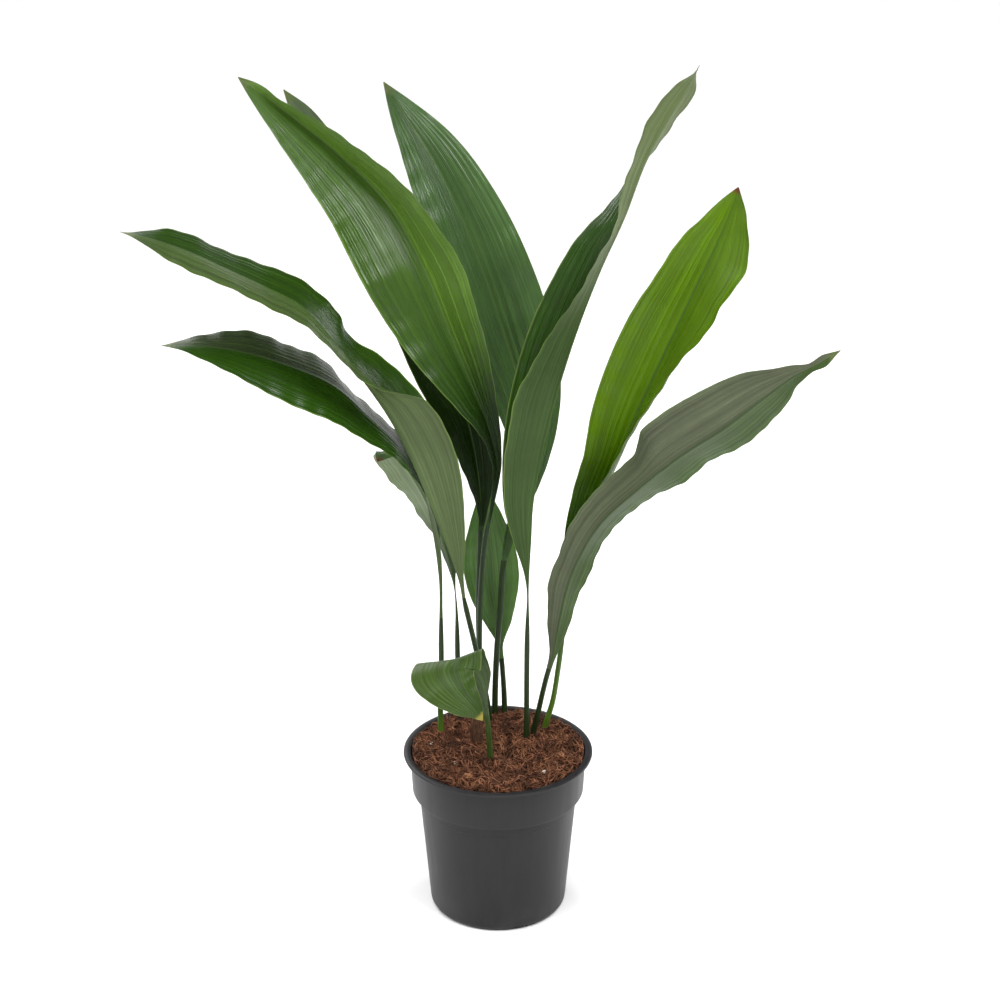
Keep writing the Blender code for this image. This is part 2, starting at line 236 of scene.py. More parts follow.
def loose_shapes(name: str, corners: list, faces: list, finish: bpy.types.Material) -> Piece:
    """Make one object of many small closed shapes.

    Args:
        name: the piece's name.
        corners: the points of all the shapes.
        faces: the faces, as numbers of points.
        finish: the material.

    Returns:
        The object.
    """
    mesh = bpy.data.meshes.new(name)
    mesh.from_pydata([tuple(corner) for corner in corners], [], faces)
    mesh.materials.append(finish)
    piece = bpy.data.objects.new(name, mesh)
    bpy.context.scene.collection.objects.link(piece)
    return piece


def smooth_rows(rows: np.ndarray, count: int) -> np.ndarray:
    """Read a smooth curve through rows at even distances along it.

    Args:
        rows: the rows, whose first three columns are a place.
        count: the number of rows wanted.

    Returns:
        The new rows.
    """
    lengths = np.linalg.norm(np.diff(rows[:, :3], axis=0), axis=1)
    knots = np.concatenate(([0.0], np.cumsum(lengths)))
    slopes = np.diff(rows, axis=0) / lengths[:, None]
    tangents = np.vstack((slopes[:1], rows[1:-1], slopes[-1:]))
    for i in range(1, len(rows) - 1):
        before, after = lengths[i - 1], lengths[i]
        tangents[i] = (slopes[i - 1] * after + slopes[i] * before) / (before + after)
    result = []
    for distance in np.linspace(0.0, knots[-1], count):
        i = min(int(np.searchsorted(knots, distance, side="right")) - 1, len(lengths) - 1)
        length = lengths[i]
        t = (distance - knots[i]) / length
        near = (2 * t ** 3 - 3 * t ** 2 + 1) * rows[i] + (t ** 3 - 2 * t ** 2 + t) * length * tangents[i]
        far = (3 * t ** 2 - 2 * t ** 3) * rows[i + 1] + (t ** 3 - t ** 2) * length * tangents[i + 1]
        result.append(near + far)
    return np.array(result)


# ------------------------------------------------------------------------- materials
class Nodes:
    """Adds and joins the nodes of one tree."""

    def __init__(self, tree: bpy.types.NodeTree) -> None:
        """Keep the tree."""
        self.tree = tree

    def add(self, kind: str, **values: object) -> bpy.types.Node:
        """Add a node and set its own settings.

        Args:
            kind: the node's type name.
            **values: settings of the node.

        Returns:
            The node.
        """
        node = self.tree.nodes.new(kind)
        for key, value in values.items():
            setattr(node, key, value)
        return node

    def put(self, socket: Socket, value: object) -> None:
        """Join a socket to another node's output, or set its value.

        Args:
            socket: the input.
            value: an output to join it to, a colour or a number.
        """
        if isinstance(value, Socket):
            self.tree.links.new(value, socket)
        elif isinstance(value, tuple) and len(value) == 3 and socket.type == "RGBA":
            socket.default_value = (*value, 1.0)
        else:
            socket.default_value = value

    def math(self, operation: str, *values: object) -> Socket:
        """Work out a sum.

        Args:
            operation: the kind of sum.
            *values: its one to three values.

        Returns:
            The result.
        """
        node = self.add("ShaderNodeMath", operation=operation)
        for socket, value in zip(node.inputs, values):
            self.put(socket, value)
        return node.outputs[0]

    def mix(self, factor: object, first: object, second: object, blend: str = "MIX") -> Socket:
        """Blend one colour with another.

        Args:
            factor: how much of the second colour shows.
            first: the first colour.
            second: the second colour.
            blend: the kind of blend.

        Returns:
            The blended colour.
        """
        node = self.add("ShaderNodeMix", data_type="RGBA", blend_type=blend, clamp_factor=True)
        self.put(node.inputs[0], factor)
        self.put(node.inputs[6], first)
        self.put(node.inputs[7], second)
        return node.outputs[2]

    def shade(self, colour: object, amount: float) -> Socket:
        """Return a colour made lighter or darker by an amount of 1 for no change."""
        return self.mix(1.0, colour, (amount, amount, amount), "MULTIPLY")

    def ramp(self, value: object, low: float, high: float, start: float = 0.0, end: float = 1.0) -> Socket:
        """Stretch a value smoothly from one range to another.

        Args:
            value: the value.
            low: where its range starts.
            high: where its range ends.
            start: the result at the low end.
            end: the result at the high end.

        Returns:
            The stretched value.
        """
        node = self.add("ShaderNodeMapRange", interpolation_type="SMOOTHSTEP", clamp=True)
        for socket, number in zip(node.inputs, (value, low, high, start, end)):
            self.put(socket, number)
        return node.outputs[0]

    def noise(self, vector: object, scale: float, detail: float = 3.0, rough: float = 0.55) -> Socket:
        """Draw a cloudy value between 0 and 1.

        Args:
            vector: the place it is read at.
            scale: its clouds in a metre.
            detail: how many finer layers it has.
            rough: how strong the finer layers are.

        Returns:
            The value.
        """
        node = self.add("ShaderNodeTexNoise")
        self.put(node.inputs["Vector"], vector)
        for key, number in (("Scale", scale), ("Detail", detail), ("Roughness", rough)):
            node.inputs[key].default_value = number
        return node.outputs[0]

    def stretched(self, vector: object, scale: Point) -> Socket:
        """Scale a place by its own amount along each axis.

        Args:
            vector: the place.
            scale: the three amounts.

        Returns:
            The scaled place.
        """
        node = self.add("ShaderNodeMapping")
        self.put(node.inputs["Vector"], vector)
        node.inputs["Scale"].default_value = scale
        return node.outputs[0]

    def place(self) -> Socket:
        """Return the place on the object."""
        return self.add("ShaderNodeTexCoord").outputs["Object"]

    def split(self, vector: Socket) -> bpy.types.bpy_prop_collection:
        """Split a vector.

        Args:
            vector: the vector.

        Returns:
            Its three parts.
        """
        node = self.add("ShaderNodeSeparateXYZ")
        self.put(node.inputs[0], vector)
        return node.outputs

    def bump(self, height: object, strength: float, distance: float) -> Socket:
        """Roughen the surface's normal by a height.

        Args:
            height: the height.
            strength: how strongly it shows.
            distance: the depth that a height of 1 stands for.

        Returns:
            The normal.
        """
        node = self.add("ShaderNodeBump")
        self.put(node.inputs["Height"], height)
        node.inputs["Strength"].default_value = strength
        node.inputs["Distance"].default_value = distance
        return node.outputs[0]

    def group(self, tree: bpy.types.NodeTree, **values: object) -> dict:
        """Place a node group.

        Args:
            tree: the group's tree.
            **values: its inputs by name.

        Returns:
            Its outputs by name.
        """
        node = self.add("ShaderNodeGroup", node_tree=tree)
        for key, value in values.items():
            self.put(node.inputs[key], value)
        return {socket.name: socket for socket in node.outputs}

    def surface(self, colour: object, rough: object, specular: float, normal: Socket | None = None) -> Socket:
        """Add the shader of an opaque surface.

        Args:
            colour: its base colour.
            rough: its roughness.
            specular: its specular level, which is the same all over.
            normal: its roughened normal, if it has one.

        Returns:
            The shader's output.
        """
        shader = self.add("ShaderNodeBsdfPrincipled")
        self.put(shader.inputs["Base Color"], colour)
        self.put(shader.inputs["Roughness"], rough)
        shader.inputs["Specular IOR Level"].default_value = specular
        if normal is not None:
            self.put(shader.inputs["Normal"], normal)
        return shader.outputs[0]


def new_group(name: str, inputs: dict[str, float], outputs: tuple[str, ...]) -> tuple:
    """Make a node group with number sockets.

    Args:
        name: the group's name.
        inputs: its inputs and their defaults.
        outputs: its outputs.

    Returns:
        The group, its node helper, its inputs by name and its output node's sockets by name.
    """
    tree = bpy.data.node_groups.new(name, "ShaderNodeTree")
    for key, value in inputs.items():
        socket = tree.interface.new_socket(key, in_out="INPUT", socket_type="NodeSocketFloat")
        socket.default_value = value
    for key in outputs:
        tree.interface.new_socket(key, in_out="OUTPUT", socket_type="NodeSocketFloat")
    nodes = Nodes(tree)
    entry = nodes.add("NodeGroupInput")
    leave = nodes.add("NodeGroupOutput")
    return tree, nodes, {s.name: s for s in entry.outputs}, {s.name: s for s in leave.inputs}


def new_material(name: str, base: Colour) -> tuple:
    """Make an empty node material.

    Args:
        name: the material's name.
        base: the colour it shows in a plain view.

    Returns:
        The material, its node helper and its output node's surface socket.
    """
    material = bpy.data.materials.new(name)
    material.use_nodes = True
    material.diffuse_color = (*base, 1.0)
    material.node_tree.nodes.clear()
    nodes = Nodes(material.node_tree)
    return material, nodes, nodes.add("ShaderNodeOutputMaterial").inputs[0]


class BladePattern:
    """The ribbing, streaks, midrib and margin that every leaf skin draws from its own map.

    The map's first value runs across the blade from 0 to 1, with the midrib at 0.5. Its second is
    the distance to the tip in metres.
    """

    STRIPES_ACROSS = 46.0
    STRIPES_ALONG = 5.0
    BROAD_STRETCH = (0.22, 0.5, 1.0)
    WANDER = 0.060
    THREADS_PER_PLEAT = 3.0
    PLEAT_RELIEF = (0.04, 0.34)
    THREAD_RELIEF = 0.08
    FINE_RELIEF = 0.85
    FINE_STREAK = 0.6
    BROAD_STREAK = 0.4
    MIDRIB_EDGE = (0.006, 0.022)
    MARGIN_EDGE = (0.478, 0.496)
    MIDDLE = (0.47, 0.53)

    def __init__(self) -> None:
        """Build the group once."""
        wanted = ("Relief", "Streak", "Midrib", "Margin", "Right", "ToTip")
        tree, nodes, given, out = new_group("blade_pattern", {"Ribs": 13.0, "Seed": 0.0}, wanted)
        self.tree = tree
        parts = nodes.split(nodes.add("ShaderNodeUVMap", uv_map="LeafUV").outputs[0])
        across, to_tip = parts[0], parts[1]
        stripes = nodes.add("ShaderNodeCombineXYZ")
        nodes.put(stripes.inputs[0], nodes.math("MULTIPLY", across, self.STRIPES_ACROSS))
        nodes.put(stripes.inputs[1], nodes.math("MULTIPLY", to_tip, self.STRIPES_ALONG))
        nodes.put(stripes.inputs[2], given["Seed"])
        fine = nodes.noise(stripes.outputs[0], 1.0, 4.0, 0.6)
        broad = nodes.noise(nodes.stretched(stripes.outputs[0], self.BROAD_STRETCH), 1.0, 2.0, 0.5)
        wander = nodes.math("MULTIPLY", nodes.math("SUBTRACT", broad, 0.5), self.WANDER)
        turns = nodes.math("MULTIPLY", given["Ribs"], FULL_TURN)
        turned = nodes.math("MULTIPLY", nodes.math("ADD", across, wander), turns)
        pleats = nodes.math("SINE", turned)
        threads = nodes.math("SINE", nodes.math("MULTIPLY", turned, self.THREADS_PER_PLEAT))
        uneven = nodes.math("MULTIPLY", pleats, nodes.ramp(broad, 0.35, 0.65, *self.PLEAT_RELIEF))
        relief = nodes.math("ADD", uneven, nodes.math("MULTIPLY", threads, self.THREAD_RELIEF))
        relief = nodes.math("ADD", relief, nodes.math("MULTIPLY", fine, self.FINE_RELIEF))
        streak = nodes.math("ADD", nodes.math("MULTIPLY", fine, self.FINE_STREAK),
                            nodes.math("MULTIPLY", broad, self.BROAD_STREAK))
        off_rib = nodes.math("ABSOLUTE", nodes.math("SUBTRACT", across, 0.5))
        nodes.put(out["Relief"], relief)
        nodes.put(out["Streak"], nodes.ramp(streak, 0.32, 0.68))
        nodes.put(out["Midrib"], nodes.ramp(off_rib, *self.MIDRIB_EDGE, 1.0, 0.0))
        nodes.put(out["Margin"], nodes.ramp(off_rib, *self.MARGIN_EDGE))
        nodes.put(out["Right"], nodes.ramp(across, *self.MIDDLE))
        nodes.put(out["ToTip"], to_tip)


@dataclass(frozen=True)
class LeafSkin:
    """The finish of one side of a leaf's blade."""

    name: str
    # left and right: the halves' colours; on some leaves one half is made paler with painted sheen, and on
    # the broad leaf brighter with painted light coming through
    left: Colour
    right: Colour
    margin: Colour = (0.16, 0.24, 0.05)
    midrib: Colour = (0.07, 0.13, 0.03)
    tip: Colour = (0.12, 0.16, 0.05)
    tip_length: float = 0.010
    # base: the colour towards the foot; on the broad, hind left and bright leaves it is painted shade
    base: Colour | None = None
    base_from: float = 0.30
    base_to: float = 0.38
    roughness: float = 0.27
    gloss: float = 0.42
    glow: float = 0.14
    relief: float = 0.62
    contrast: float = 0.36
    ribs: float = 13.0
    seed: float = 0.0

    CLOUDS = 26.0
    CLOUD_SHADE = 0.30
    MIDRIB_SHARE = 0.7
    MARGIN_SHARE = 0.75
    RAGS = 260.0
    RIDGE_DEPTH = 0.0011
    DULLER = 0.05
    GLOSSIER = 0.04
    LIGHT_THROUGH = (2.6, 2.5, 0.9)

    def material(self, pattern: BladePattern) -> bpy.types.Material:
        """Build the skin's material.

        Args:
            pattern: the shared ribbing group.

        Returns:
            The material.
        """
        material, nodes, output = new_material(self.name, self.left)
        drawn = nodes.group(pattern.tree, Ribs=self.ribs, Seed=self.seed)
        # Blend the halves' colours; on some leaves the difference between them is painted sheen, and on the
        # broad leaf painted light coming through as well.
        colour = nodes.mix(drawn["Right"], self.left, self.right)
        # Towards the foot the base colour takes over: painted shade on the broad, hind left and bright
        # leaves, and only darker towards the foot on the others.
        if self.base:
            lower = nodes.ramp(drawn["ToTip"], self.base_from, self.base_to)
            colour = nodes.mix(lower, colour, self.base)
        dark = nodes.shade(colour, 1.0 - self.contrast)
        colour = nodes.mix(drawn["Streak"], dark, nodes.shade(colour, 1.0 + self.contrast))
        clouds = nodes.noise(nodes.place(), self.CLOUDS)
        colour = nodes.mix(nodes.ramp(clouds, 0.35, 0.7, 0.0, self.CLOUD_SHADE), colour, dark)
        colour = nodes.mix(nodes.math("MULTIPLY", drawn["Midrib"], self.MIDRIB_SHARE), colour, self.midrib)
        colour = nodes.mix(nodes.math("MULTIPLY", drawn["Margin"], self.MARGIN_SHARE), colour, self.margin)
        ragged = nodes.math("MULTIPLY", nodes.noise(nodes.place(), self.RAGS, 2.0), self.tip_length)
        near_tip = nodes.math("SUBTRACT", drawn["ToTip"], ragged)
        colour = nodes.mix(nodes.ramp(near_tip, 0.0, self.tip_length, 1.0, 0.0), colour, self.tip)
        dull, glossy = self.roughness + self.DULLER, self.roughness - self.GLOSSIER
        rough = nodes.ramp(drawn["Streak"], 0.0, 1.0, dull, glossy)
        normal = nodes.bump(drawn["Relief"], self.relief, self.RIDGE_DEPTH)
        through = nodes.add("ShaderNodeBsdfTranslucent")
        nodes.put(through.inputs["Color"], nodes.mix(1.0, colour, self.LIGHT_THROUGH, "MULTIPLY"))
        blend = nodes.add("ShaderNodeMixShader")
        blend.inputs[0].default_value = self.glow
        nodes.put(blend.inputs[1], nodes.surface(colour, rough, self.gloss, normal))
        nodes.put(blend.inputs[2], through.outputs[0])
        nodes.put(output, blend.outputs[0])
        return material


@dataclass(frozen=True)
class StalkSkin:
    """The finish of a leafstalk: one colour at the foot and another where the blade begins."""

    name: str
    foot: Colour = (0.022, 0.040, 0.010)
    top: Colour = (0.020, 0.042, 0.009)
    foot_height: float = 0.15
    top_height: float = 0.26
    roughness: float = 0.36
    gloss: float = 0.22

    FIBRES = (900.0, 900.0, 26.0)
    FIBRE_SHADE = 0.65
    SOIL = (0.075, 0.040, 0.022)
    SOIL_HEIGHTS = (0.146, 0.156)
    SOIL_SHARE = 0.7
    RELIEF = 0.35
    RELIEF_DEPTH = 0.0006

    def material(self) -> bpy.types.Material:
        """Build the stalk's material.

        Returns:
            The material.
        """
        material, nodes, output = new_material(self.name, self.top)
        place = nodes.place()
        height = nodes.split(place)[2]
        colour = nodes.mix(nodes.ramp(height, self.foot_height, self.top_height), self.foot, self.top)
        grain = nodes.noise(nodes.stretched(place, self.FIBRES), 1.0)
        colour = nodes.mix(nodes.ramp(grain, 0.3, 0.7), nodes.shade(colour, self.FIBRE_SHADE), colour)
        colour = nodes.mix(nodes.ramp(height, *self.SOIL_HEIGHTS, self.SOIL_SHARE, 0.0), colour, self.SOIL)
        rough = nodes.ramp(grain, 0.2, 0.8, self.roughness - 0.05, self.roughness + 0.08)
        normal = nodes.bump(grain, self.RELIEF, self.RELIEF_DEPTH)
        nodes.put(output, nodes.surface(colour, rough, self.gloss, normal))
        return material


@dataclass(frozen=True)
class RoughStuff:
    """A dull, uneven natural finish: two colours in patches, with a grain."""

    name: str
    dark: Colour
    light: Colour
    patch: float = 220.0
    grain: Point = (1.0, 1.0, 1.0)
    relief: float = 0.8
    depth: float = 0.0012
    roughness: float = 0.9
    gloss: float = 0.18
    shade: Colour | None = None

    GRAINS_PER_PATCH = 5.0
    SHADES = 60.0
    SHADE_SHARE = 0.75

    def material(self) -> bpy.types.Material:
        """Build the material.

        Returns:
            The material.
        """
        material, nodes, output = new_material(self.name, self.light)
        place = nodes.stretched(nodes.place(), self.grain)
        patches = nodes.noise(place, self.patch, 4.0, 0.65)
        fine = nodes.noise(place, self.patch * self.GRAINS_PER_PATCH, 3.0, 0.6)
        colour = nodes.mix(nodes.ramp(patches, 0.34, 0.66), self.dark, self.light)
        colour = nodes.mix(nodes.ramp(fine, 0.3, 0.75, 0.45, 0.0), colour, self.dark)
        if self.shade:
            large = nodes.noise(nodes.place(), self.SHADES, 2.0)
            colour = nodes.mix(nodes.ramp(large, 0.45, 0.70, 0.0, self.SHADE_SHARE), colour, self.shade)
        rough = nodes.ramp(fine, 0.2, 0.8, self.roughness, self.roughness - 0.12)
        height = nodes.math("ADD", patches, nodes.math("MULTIPLY", fine, 0.5))
        normal = nodes.bump(height, self.relief, self.depth)
        nodes.put(output, nodes.surface(colour, rough, self.gloss, normal))
        return material


@dataclass(frozen=True)
class PotPlastic:
    """Satin black moulded plastic with faint vertical draw marks and a little dust."""

    name: str = "black_moulded_plastic"
    base: Colour = (0.0125, 0.0115, 0.0128)
    drawn: Colour = (0.028, 0.026, 0.028)
    dust: Colour = (0.10, 0.09, 0.085)
    roughness: float = 0.42
    gloss: float = 0.26

    DRAW_MARKS = (120.0, 120.0, 9.0)
    SPECKS = 900.0
    CLOUDS = 34.0
    SPLASH_HEIGHT = 0.03
    SPLASH_SHARE = 0.30
    SPECK_SHARE = 0.10
    MARK_SHARE = 0.25
    DUST_DULLS = 0.3
    RELIEF = 0.10
    RELIEF_DEPTH = 0.0006

    def material(self) -> bpy.types.Material:
        """Build the plastic.

        Returns:
            The material.
        """
        material, nodes, output = new_material(self.name, self.base)
        place = nodes.place()
        height = nodes.split(place)[2]
        marks = nodes.noise(nodes.stretched(place, self.DRAW_MARKS), 1.0, 4.0, 0.6)
        speck = nodes.noise(place, self.SPECKS, 3.0, 0.6)
        cloud = nodes.noise(place, self.CLOUDS)
        low = nodes.ramp(height, 0.0, self.SPLASH_HEIGHT, self.SPLASH_SHARE, 0.0)
        dusty = nodes.math("ADD", nodes.math("MULTIPLY", nodes.ramp(speck, 0.62, 0.80), self.SPECK_SHARE),
                           nodes.math("MULTIPLY", nodes.ramp(cloud, 0.4, 0.8), low))
        colour = nodes.mix(dusty, self.base, self.dust)
        colour = nodes.mix(nodes.ramp(marks, 0.3, 0.7, 0.0, self.MARK_SHARE), colour, self.drawn)
        satin = nodes.ramp(marks, 0.25, 0.75, self.roughness - 0.04, self.roughness + 0.06)
        rough = nodes.math("ADD", satin, nodes.math("MULTIPLY", dusty, self.DUST_DULLS))
        relief = nodes.math("ADD", nodes.math("MULTIPLY", marks, 0.6), nodes.math("MULTIPLY", speck, 0.25))
        normal = nodes.bump(relief, self.RELIEF, self.RELIEF_DEPTH)
        nodes.put(output, nodes.surface(colour, rough, self.gloss, normal))
        return material


# ---------------------------------------------------------------------------- leaves
@dataclass(frozen=True)
class Waves:
    """The waviness of a blade's margins."""

    height: float = 0.0014
    length: float = 0.062
    phase: float = 0.0
    fine: float = 0.0005


@dataclass
class Leaf:
    """One leaf as it grew: a round stalk that opens into a folded blade.

    Stations are in millimetres: place, half width, and the lifts of the left and right halves
    towards the upper side in degrees. facing is the bearing that the upper side looks to, and share
    is the right half's width as a part of the left half's.
    """

    node: str
    slot: str
    facing: float
    share: float
    stalk: tuple[Point, ...]
    blade: tuple[Station, ...]
    upper: LeafSkin
    under: LeafSkin
    stem: StalkSkin
    waves: Waves = Waves()
    curl: tuple[float, float] = (-14.0, -14.0)
    roll: tuple[float, float] = (0.0, 0.0)
    stalk_radius: float = 0.0024
    sheath_radius: float = 0.0030

    AROUND = 96
    RING_CUTS = (11, 13)
    WAVE_ONSET = 1.6
    WAVE_SIDE_PACE = 0.10
    WAVE_SIDE_SHIFT = 2.1
    WAVE_SWELL = 0.4
    WAVE_SWELL_PACE = 0.37
    FINE_WAVE_PACE = 3.3
    FINE_WAVE_SHIFT = 1.7
    BLADE_MM = 0.5
    MARGIN_THINNING = 0.55
    RIB_MM = 1.0
    RIB_REACH = 0.0016
    TIP_HALF_MM = 0.35
    FULL_HALF = 0.020
    FULL_THICKNESS_HALF = 0.004
    FOOT_MM = 128.0
    FOOT_REACH_MM = 60.0
    SHEATH_LENGTH = 0.06
    BLADE_FROM = 0.35
    FOLD_SOFTNESS = 0.16
    FOLD_START = 0.55
    ROLL_START = 0.70
    ROLL_ONSET = 1.5
    TIP_THICKNESS = 0.3
    SMOOTH_DEGREES = 80.0

    def rows(self) -> np.ndarray:
        """List the stations from the foot to the tip, with the stalk's as round ones.

        Returns:
            The stations' rows.
        """
        pull = min(1.0, self.FOOT_REACH_MM / math.hypot(*self.stalk[0][:2]))
        foot = (self.stalk[0][0] * pull, self.stalk[0][1] * pull, self.FOOT_MM)
        lifts = self.blade[0][4:]
        stalk = [(*point, self.stalk_radius / MM, *lifts) for point in (foot, *self.stalk)]
        return np.array([*stalk, *self.blade], float)

    def opening(self, count: int) -> np.ndarray:
        """Say how far the stalk has opened into a blade.

        Args:
            count: the number of rings.

        Returns:
            A value for each ring, from 0 on the stalk to 1 on the blade.
        """
        stations = self.rows()
        lengths = np.linalg.norm(np.diff(stations[:, :3], axis=0), axis=1)
        knots = np.concatenate(([0.0], np.cumsum(lengths)))
        along = np.linspace(0.0, knots[-1], count)
        start = knots[len(self.stalk)]
        end = knots[len(self.stalk) + 1]
        t = np.clip((along - start) / (end - start), 0.0, 1.0)
        return t * t * (3 - 2 * t)

    def half_section(self, sign: float, lift: float, curl: float, roll: float, steps: int) -> np.ndarray:
        """Lay out one half of the blade from its midrib to its margin, for a half width of 1.

        Args:
            sign: 1 for the right half and -1 for the left.
            lift: the half's lift in radians.
            curl: how much the lift grows from the midrib to the margin, in radians.
            roll: extra lift at the very margin, in radians.
            steps: the number of steps.

        Returns:
            Rows of the distance to the side, the height, and the upper side's normal.
        """
        middle = (np.arange(steps) + 0.5) / steps
        soft = np.clip(middle / self.FOLD_SOFTNESS, 0.0, 1.0)
        bend = lift * (self.FOLD_START + (1.0 - self.FOLD_START) * soft) + curl * (middle - 0.5)
        rolled = np.clip((middle - self.ROLL_START) / (1.0 - self.ROLL_START), 0.0, 1.0)
        bend = bend + roll * rolled ** self.ROLL_ONSET
        out = np.concatenate(([0.0], np.cumsum(np.cos(bend)))) / steps
        rise = np.concatenate(([0.0], np.cumsum(np.sin(bend)))) / steps
        edge = np.concatenate(([0.0], (bend[:-1] + bend[1:]) / 2, bend[-1:]))
        return np.stack((sign * out, rise, -sign * np.sin(edge), np.cos(edge)), axis=1)

    def ripple(self, distance: float, spread: np.ndarray) -> np.ndarray:
        """Work out the wave of the margins at one ring.

        Args:
            distance: the ring's distance from the foot.
            spread: places across the blade, from -1 at the left margin to 1 at the right.

        Returns:
            The height of the wave at each place.
        """
        sides = np.sign(spread)
        turn = FULL_TURN * distance / self.waves.length
        pace = turn * (1.0 + self.WAVE_SIDE_PACE * sides)
        wave = np.sin(pace + self.waves.phase + self.WAVE_SIDE_SHIFT * sides)
        swell = math.sin(self.WAVE_SWELL_PACE * turn + self.waves.phase)
        wave = wave * (1.0 - self.WAVE_SWELL + self.WAVE_SWELL * swell)
        fine = np.sin(self.FINE_WAVE_PACE * turn + self.FINE_WAVE_SHIFT * sides)
        return self.waves.height * wave + self.waves.fine * fine

    def section(self, row: np.ndarray, opened: float, distance: float) -> np.ndarray:
        """Lay out one ring: the upper side from left to right, then the under side back.

        Args:
            row: the station.
            opened: 0 on the round stalk, 1 on the flat blade.
            distance: the distance from the foot.

        Returns:
            Rows of the distance to the right and the height over the midrib.
        """
        steps = self.AROUND // 4
        half = max(row[3], self.TIP_HALF_MM) * MM
        fade = min(half / self.FULL_HALF, 1.0)
        curls = np.radians(self.curl) * fade
        rolls = np.radians(self.roll) * fade
        left = self.half_section(-1.0, math.radians(row[4]), curls[0], rolls[0], steps)
        right = self.half_section(1.0, math.radians(row[5]), curls[1], rolls[1], steps)
        right[:, :2] *= self.share
        sheet = np.concatenate((left[::-1], right[1:]))
        spread = np.linspace(-1.0, 1.0, 2 * steps + 1)
        reach = np.abs(spread)
        wave = self.ripple(distance, spread) * reach ** self.WAVE_ONSET * fade
        top = sheet[:, :2] * half + sheet[:, 2:] * wave[:, None]
        thick = self.BLADE_MM * MM * (1.0 - self.MARGIN_THINNING * reach ** 3)
        thick = thick * min(1.0, self.TIP_THICKNESS + half / self.FULL_THICKNESS_HALF)
        rib = self.RIB_MM * MM * fade * np.exp(-(reach * half / self.RIB_REACH) ** 2)
        below = top - sheet[:, 2:] * (thick + rib)[:, None]
        blade = np.concatenate((top, below[1:-1][::-1]))
        angle = math.pi - FULL_TURN * np.arange(self.AROUND) / self.AROUND
        flare = max(0.0, 1.0 - distance / self.SHEATH_LENGTH)
        radius = self.stalk_radius + (self.sheath_radius - self.stalk_radius) * flare
        round_ring = radius * np.stack((np.cos(angle), np.sin(angle)), axis=1)
        return (1.0 - opened) * round_ring + opened * blade

    def shape(self, rows: np.ndarray, place: np.ndarray, ring: np.ndarray) -> np.ndarray:
        """Place every point of the ringed tube.

        Args:
            rows: the leaf's fine rows.
            place: each point's place around its ring.
            ring: each point's ring.

        Returns:
            The points.
        """
        facing = math.radians(self.facing)
        outward = np.array((-math.sin(facing), math.cos(facing), 0.0))
        along = np.gradient(rows[:, :3], axis=0)
        along /= np.linalg.norm(along, axis=1)[:, None]
        side = outward - along * (along @ outward)[:, None]
        side /= np.linalg.norm(side, axis=1)[:, None]
        normal = np.cross(side, along)
        step = np.linalg.norm(np.diff(rows[:, :3], axis=0), axis=1).mean() * MM
        opened = self.opening(len(rows))
        table = np.array([self.section(row, opened[j], j * step) for j, row in enumerate(rows)])
        flat = table[ring, place]
        centre = rows[ring, :3] * MM
        return centre + flat[:, :1] * side[ring] + flat[:, 1:] * normal[ring]

    def draw_map(self, piece: Piece, place: np.ndarray, ring: np.ndarray, rows: np.ndarray) -> None:
        """Lay the leaf's map on it: across the blade, and metres to the tip.

        Args:
            piece: the leaf.
            place: each point's place around its ring.
            ring: each point's ring.
            rows: the leaf's fine rows.
        """
        half_turn = self.AROUND // 2
        across = np.where(place <= half_turn, place, self.AROUND - place) / half_turn
        steps = np.linalg.norm(np.diff(rows[:, :3], axis=0), axis=1) * MM
        to_tip = np.concatenate((np.cumsum(steps[::-1])[::-1], [0.0]))
        mesh = piece.data
        corner = np.empty(len(mesh.loops), int)
        mesh.loops.foreach_get("vertex_index", corner)
        uv = np.stack((across[corner], to_tip[ring[corner]]), axis=1)
        while mesh.uv_layers:
            mesh.uv_layers.remove(mesh.uv_layers[0])
        layer = mesh.uv_layers.new(name="LeafUV")
        layer.data.foreach_set("uv", uv.astype(np.float32).ravel())

    def part_skins(self, piece: Piece, place: np.ndarray, ring: np.ndarray, count: int) -> None:
        """Tell the leaf's upper side, under side and stalk apart.

        Args:
            piece: the leaf.
            place: each point's place around its ring.
            ring: each point's ring.
            count: the number of rings.
        """
        half_turn = self.AROUND // 2
        first_blade = int(np.argmax(self.opening(count) > self.BLADE_FROM))
        for polygon in piece.data.polygons:
            corners = list(polygon.vertices)
            places = place[corners]
            if ring[corners].min() < first_blade:
                face = Face.STALK
            elif places.max() <= half_turn and not (0 in places and half_turn in places):
                face = Face.UPPER
            else:
                face = Face.UNDER
            polygon.material_index = face.value

    def build(self, pattern: BladePattern) -> Piece:
        """Model the leaf and dress it.

        Args:
            pattern: the shared ribbing group.

        Returns:
            The leaf.
        """
        piece, place, ring, count = ringed_tube(f"{self.node}_grown", self.AROUND, *self.RING_CUTS)
        rows = smooth_rows(self.rows(), count)
        set_points(piece, self.shape(rows, place, ring))
        face_outwards(piece, flip=True)
        for skin in (self.upper.material(pattern), self.under.material(pattern), self.stem.material()):
            piece.data.materials.append(skin)
        self.draw_map(piece, place, ring, rows)
        self.part_skins(piece, place, ring, count)
        smooth(piece, self.SMOOTH_DEGREES)
        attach(piece, "root")
        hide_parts(self.node)
        return piece


BROWN_TIP: Colour = (0.16, 0.055, 0.020)
YELLOW_TIP: Colour = (0.40, 0.34, 0.06)
GREY_UNDER: Colour = (0.078, 0.118, 0.040)


def dull_under(name: str, seed: float, colour: Colour = GREY_UNDER, glow: float = 0.14) -> LeafSkin:
    """Describe the dull under side of a leaf that shows little of it.

    Args:
        name: the skin's name.
        seed: what sets its streaks apart.
        colour: its colour.
        glow: how much light comes through it.

    Returns:
        The skin.
    """
    return LeafSkin(name, colour, colour, roughness=0.5, gloss=0.22, glow=glow, seed=seed)


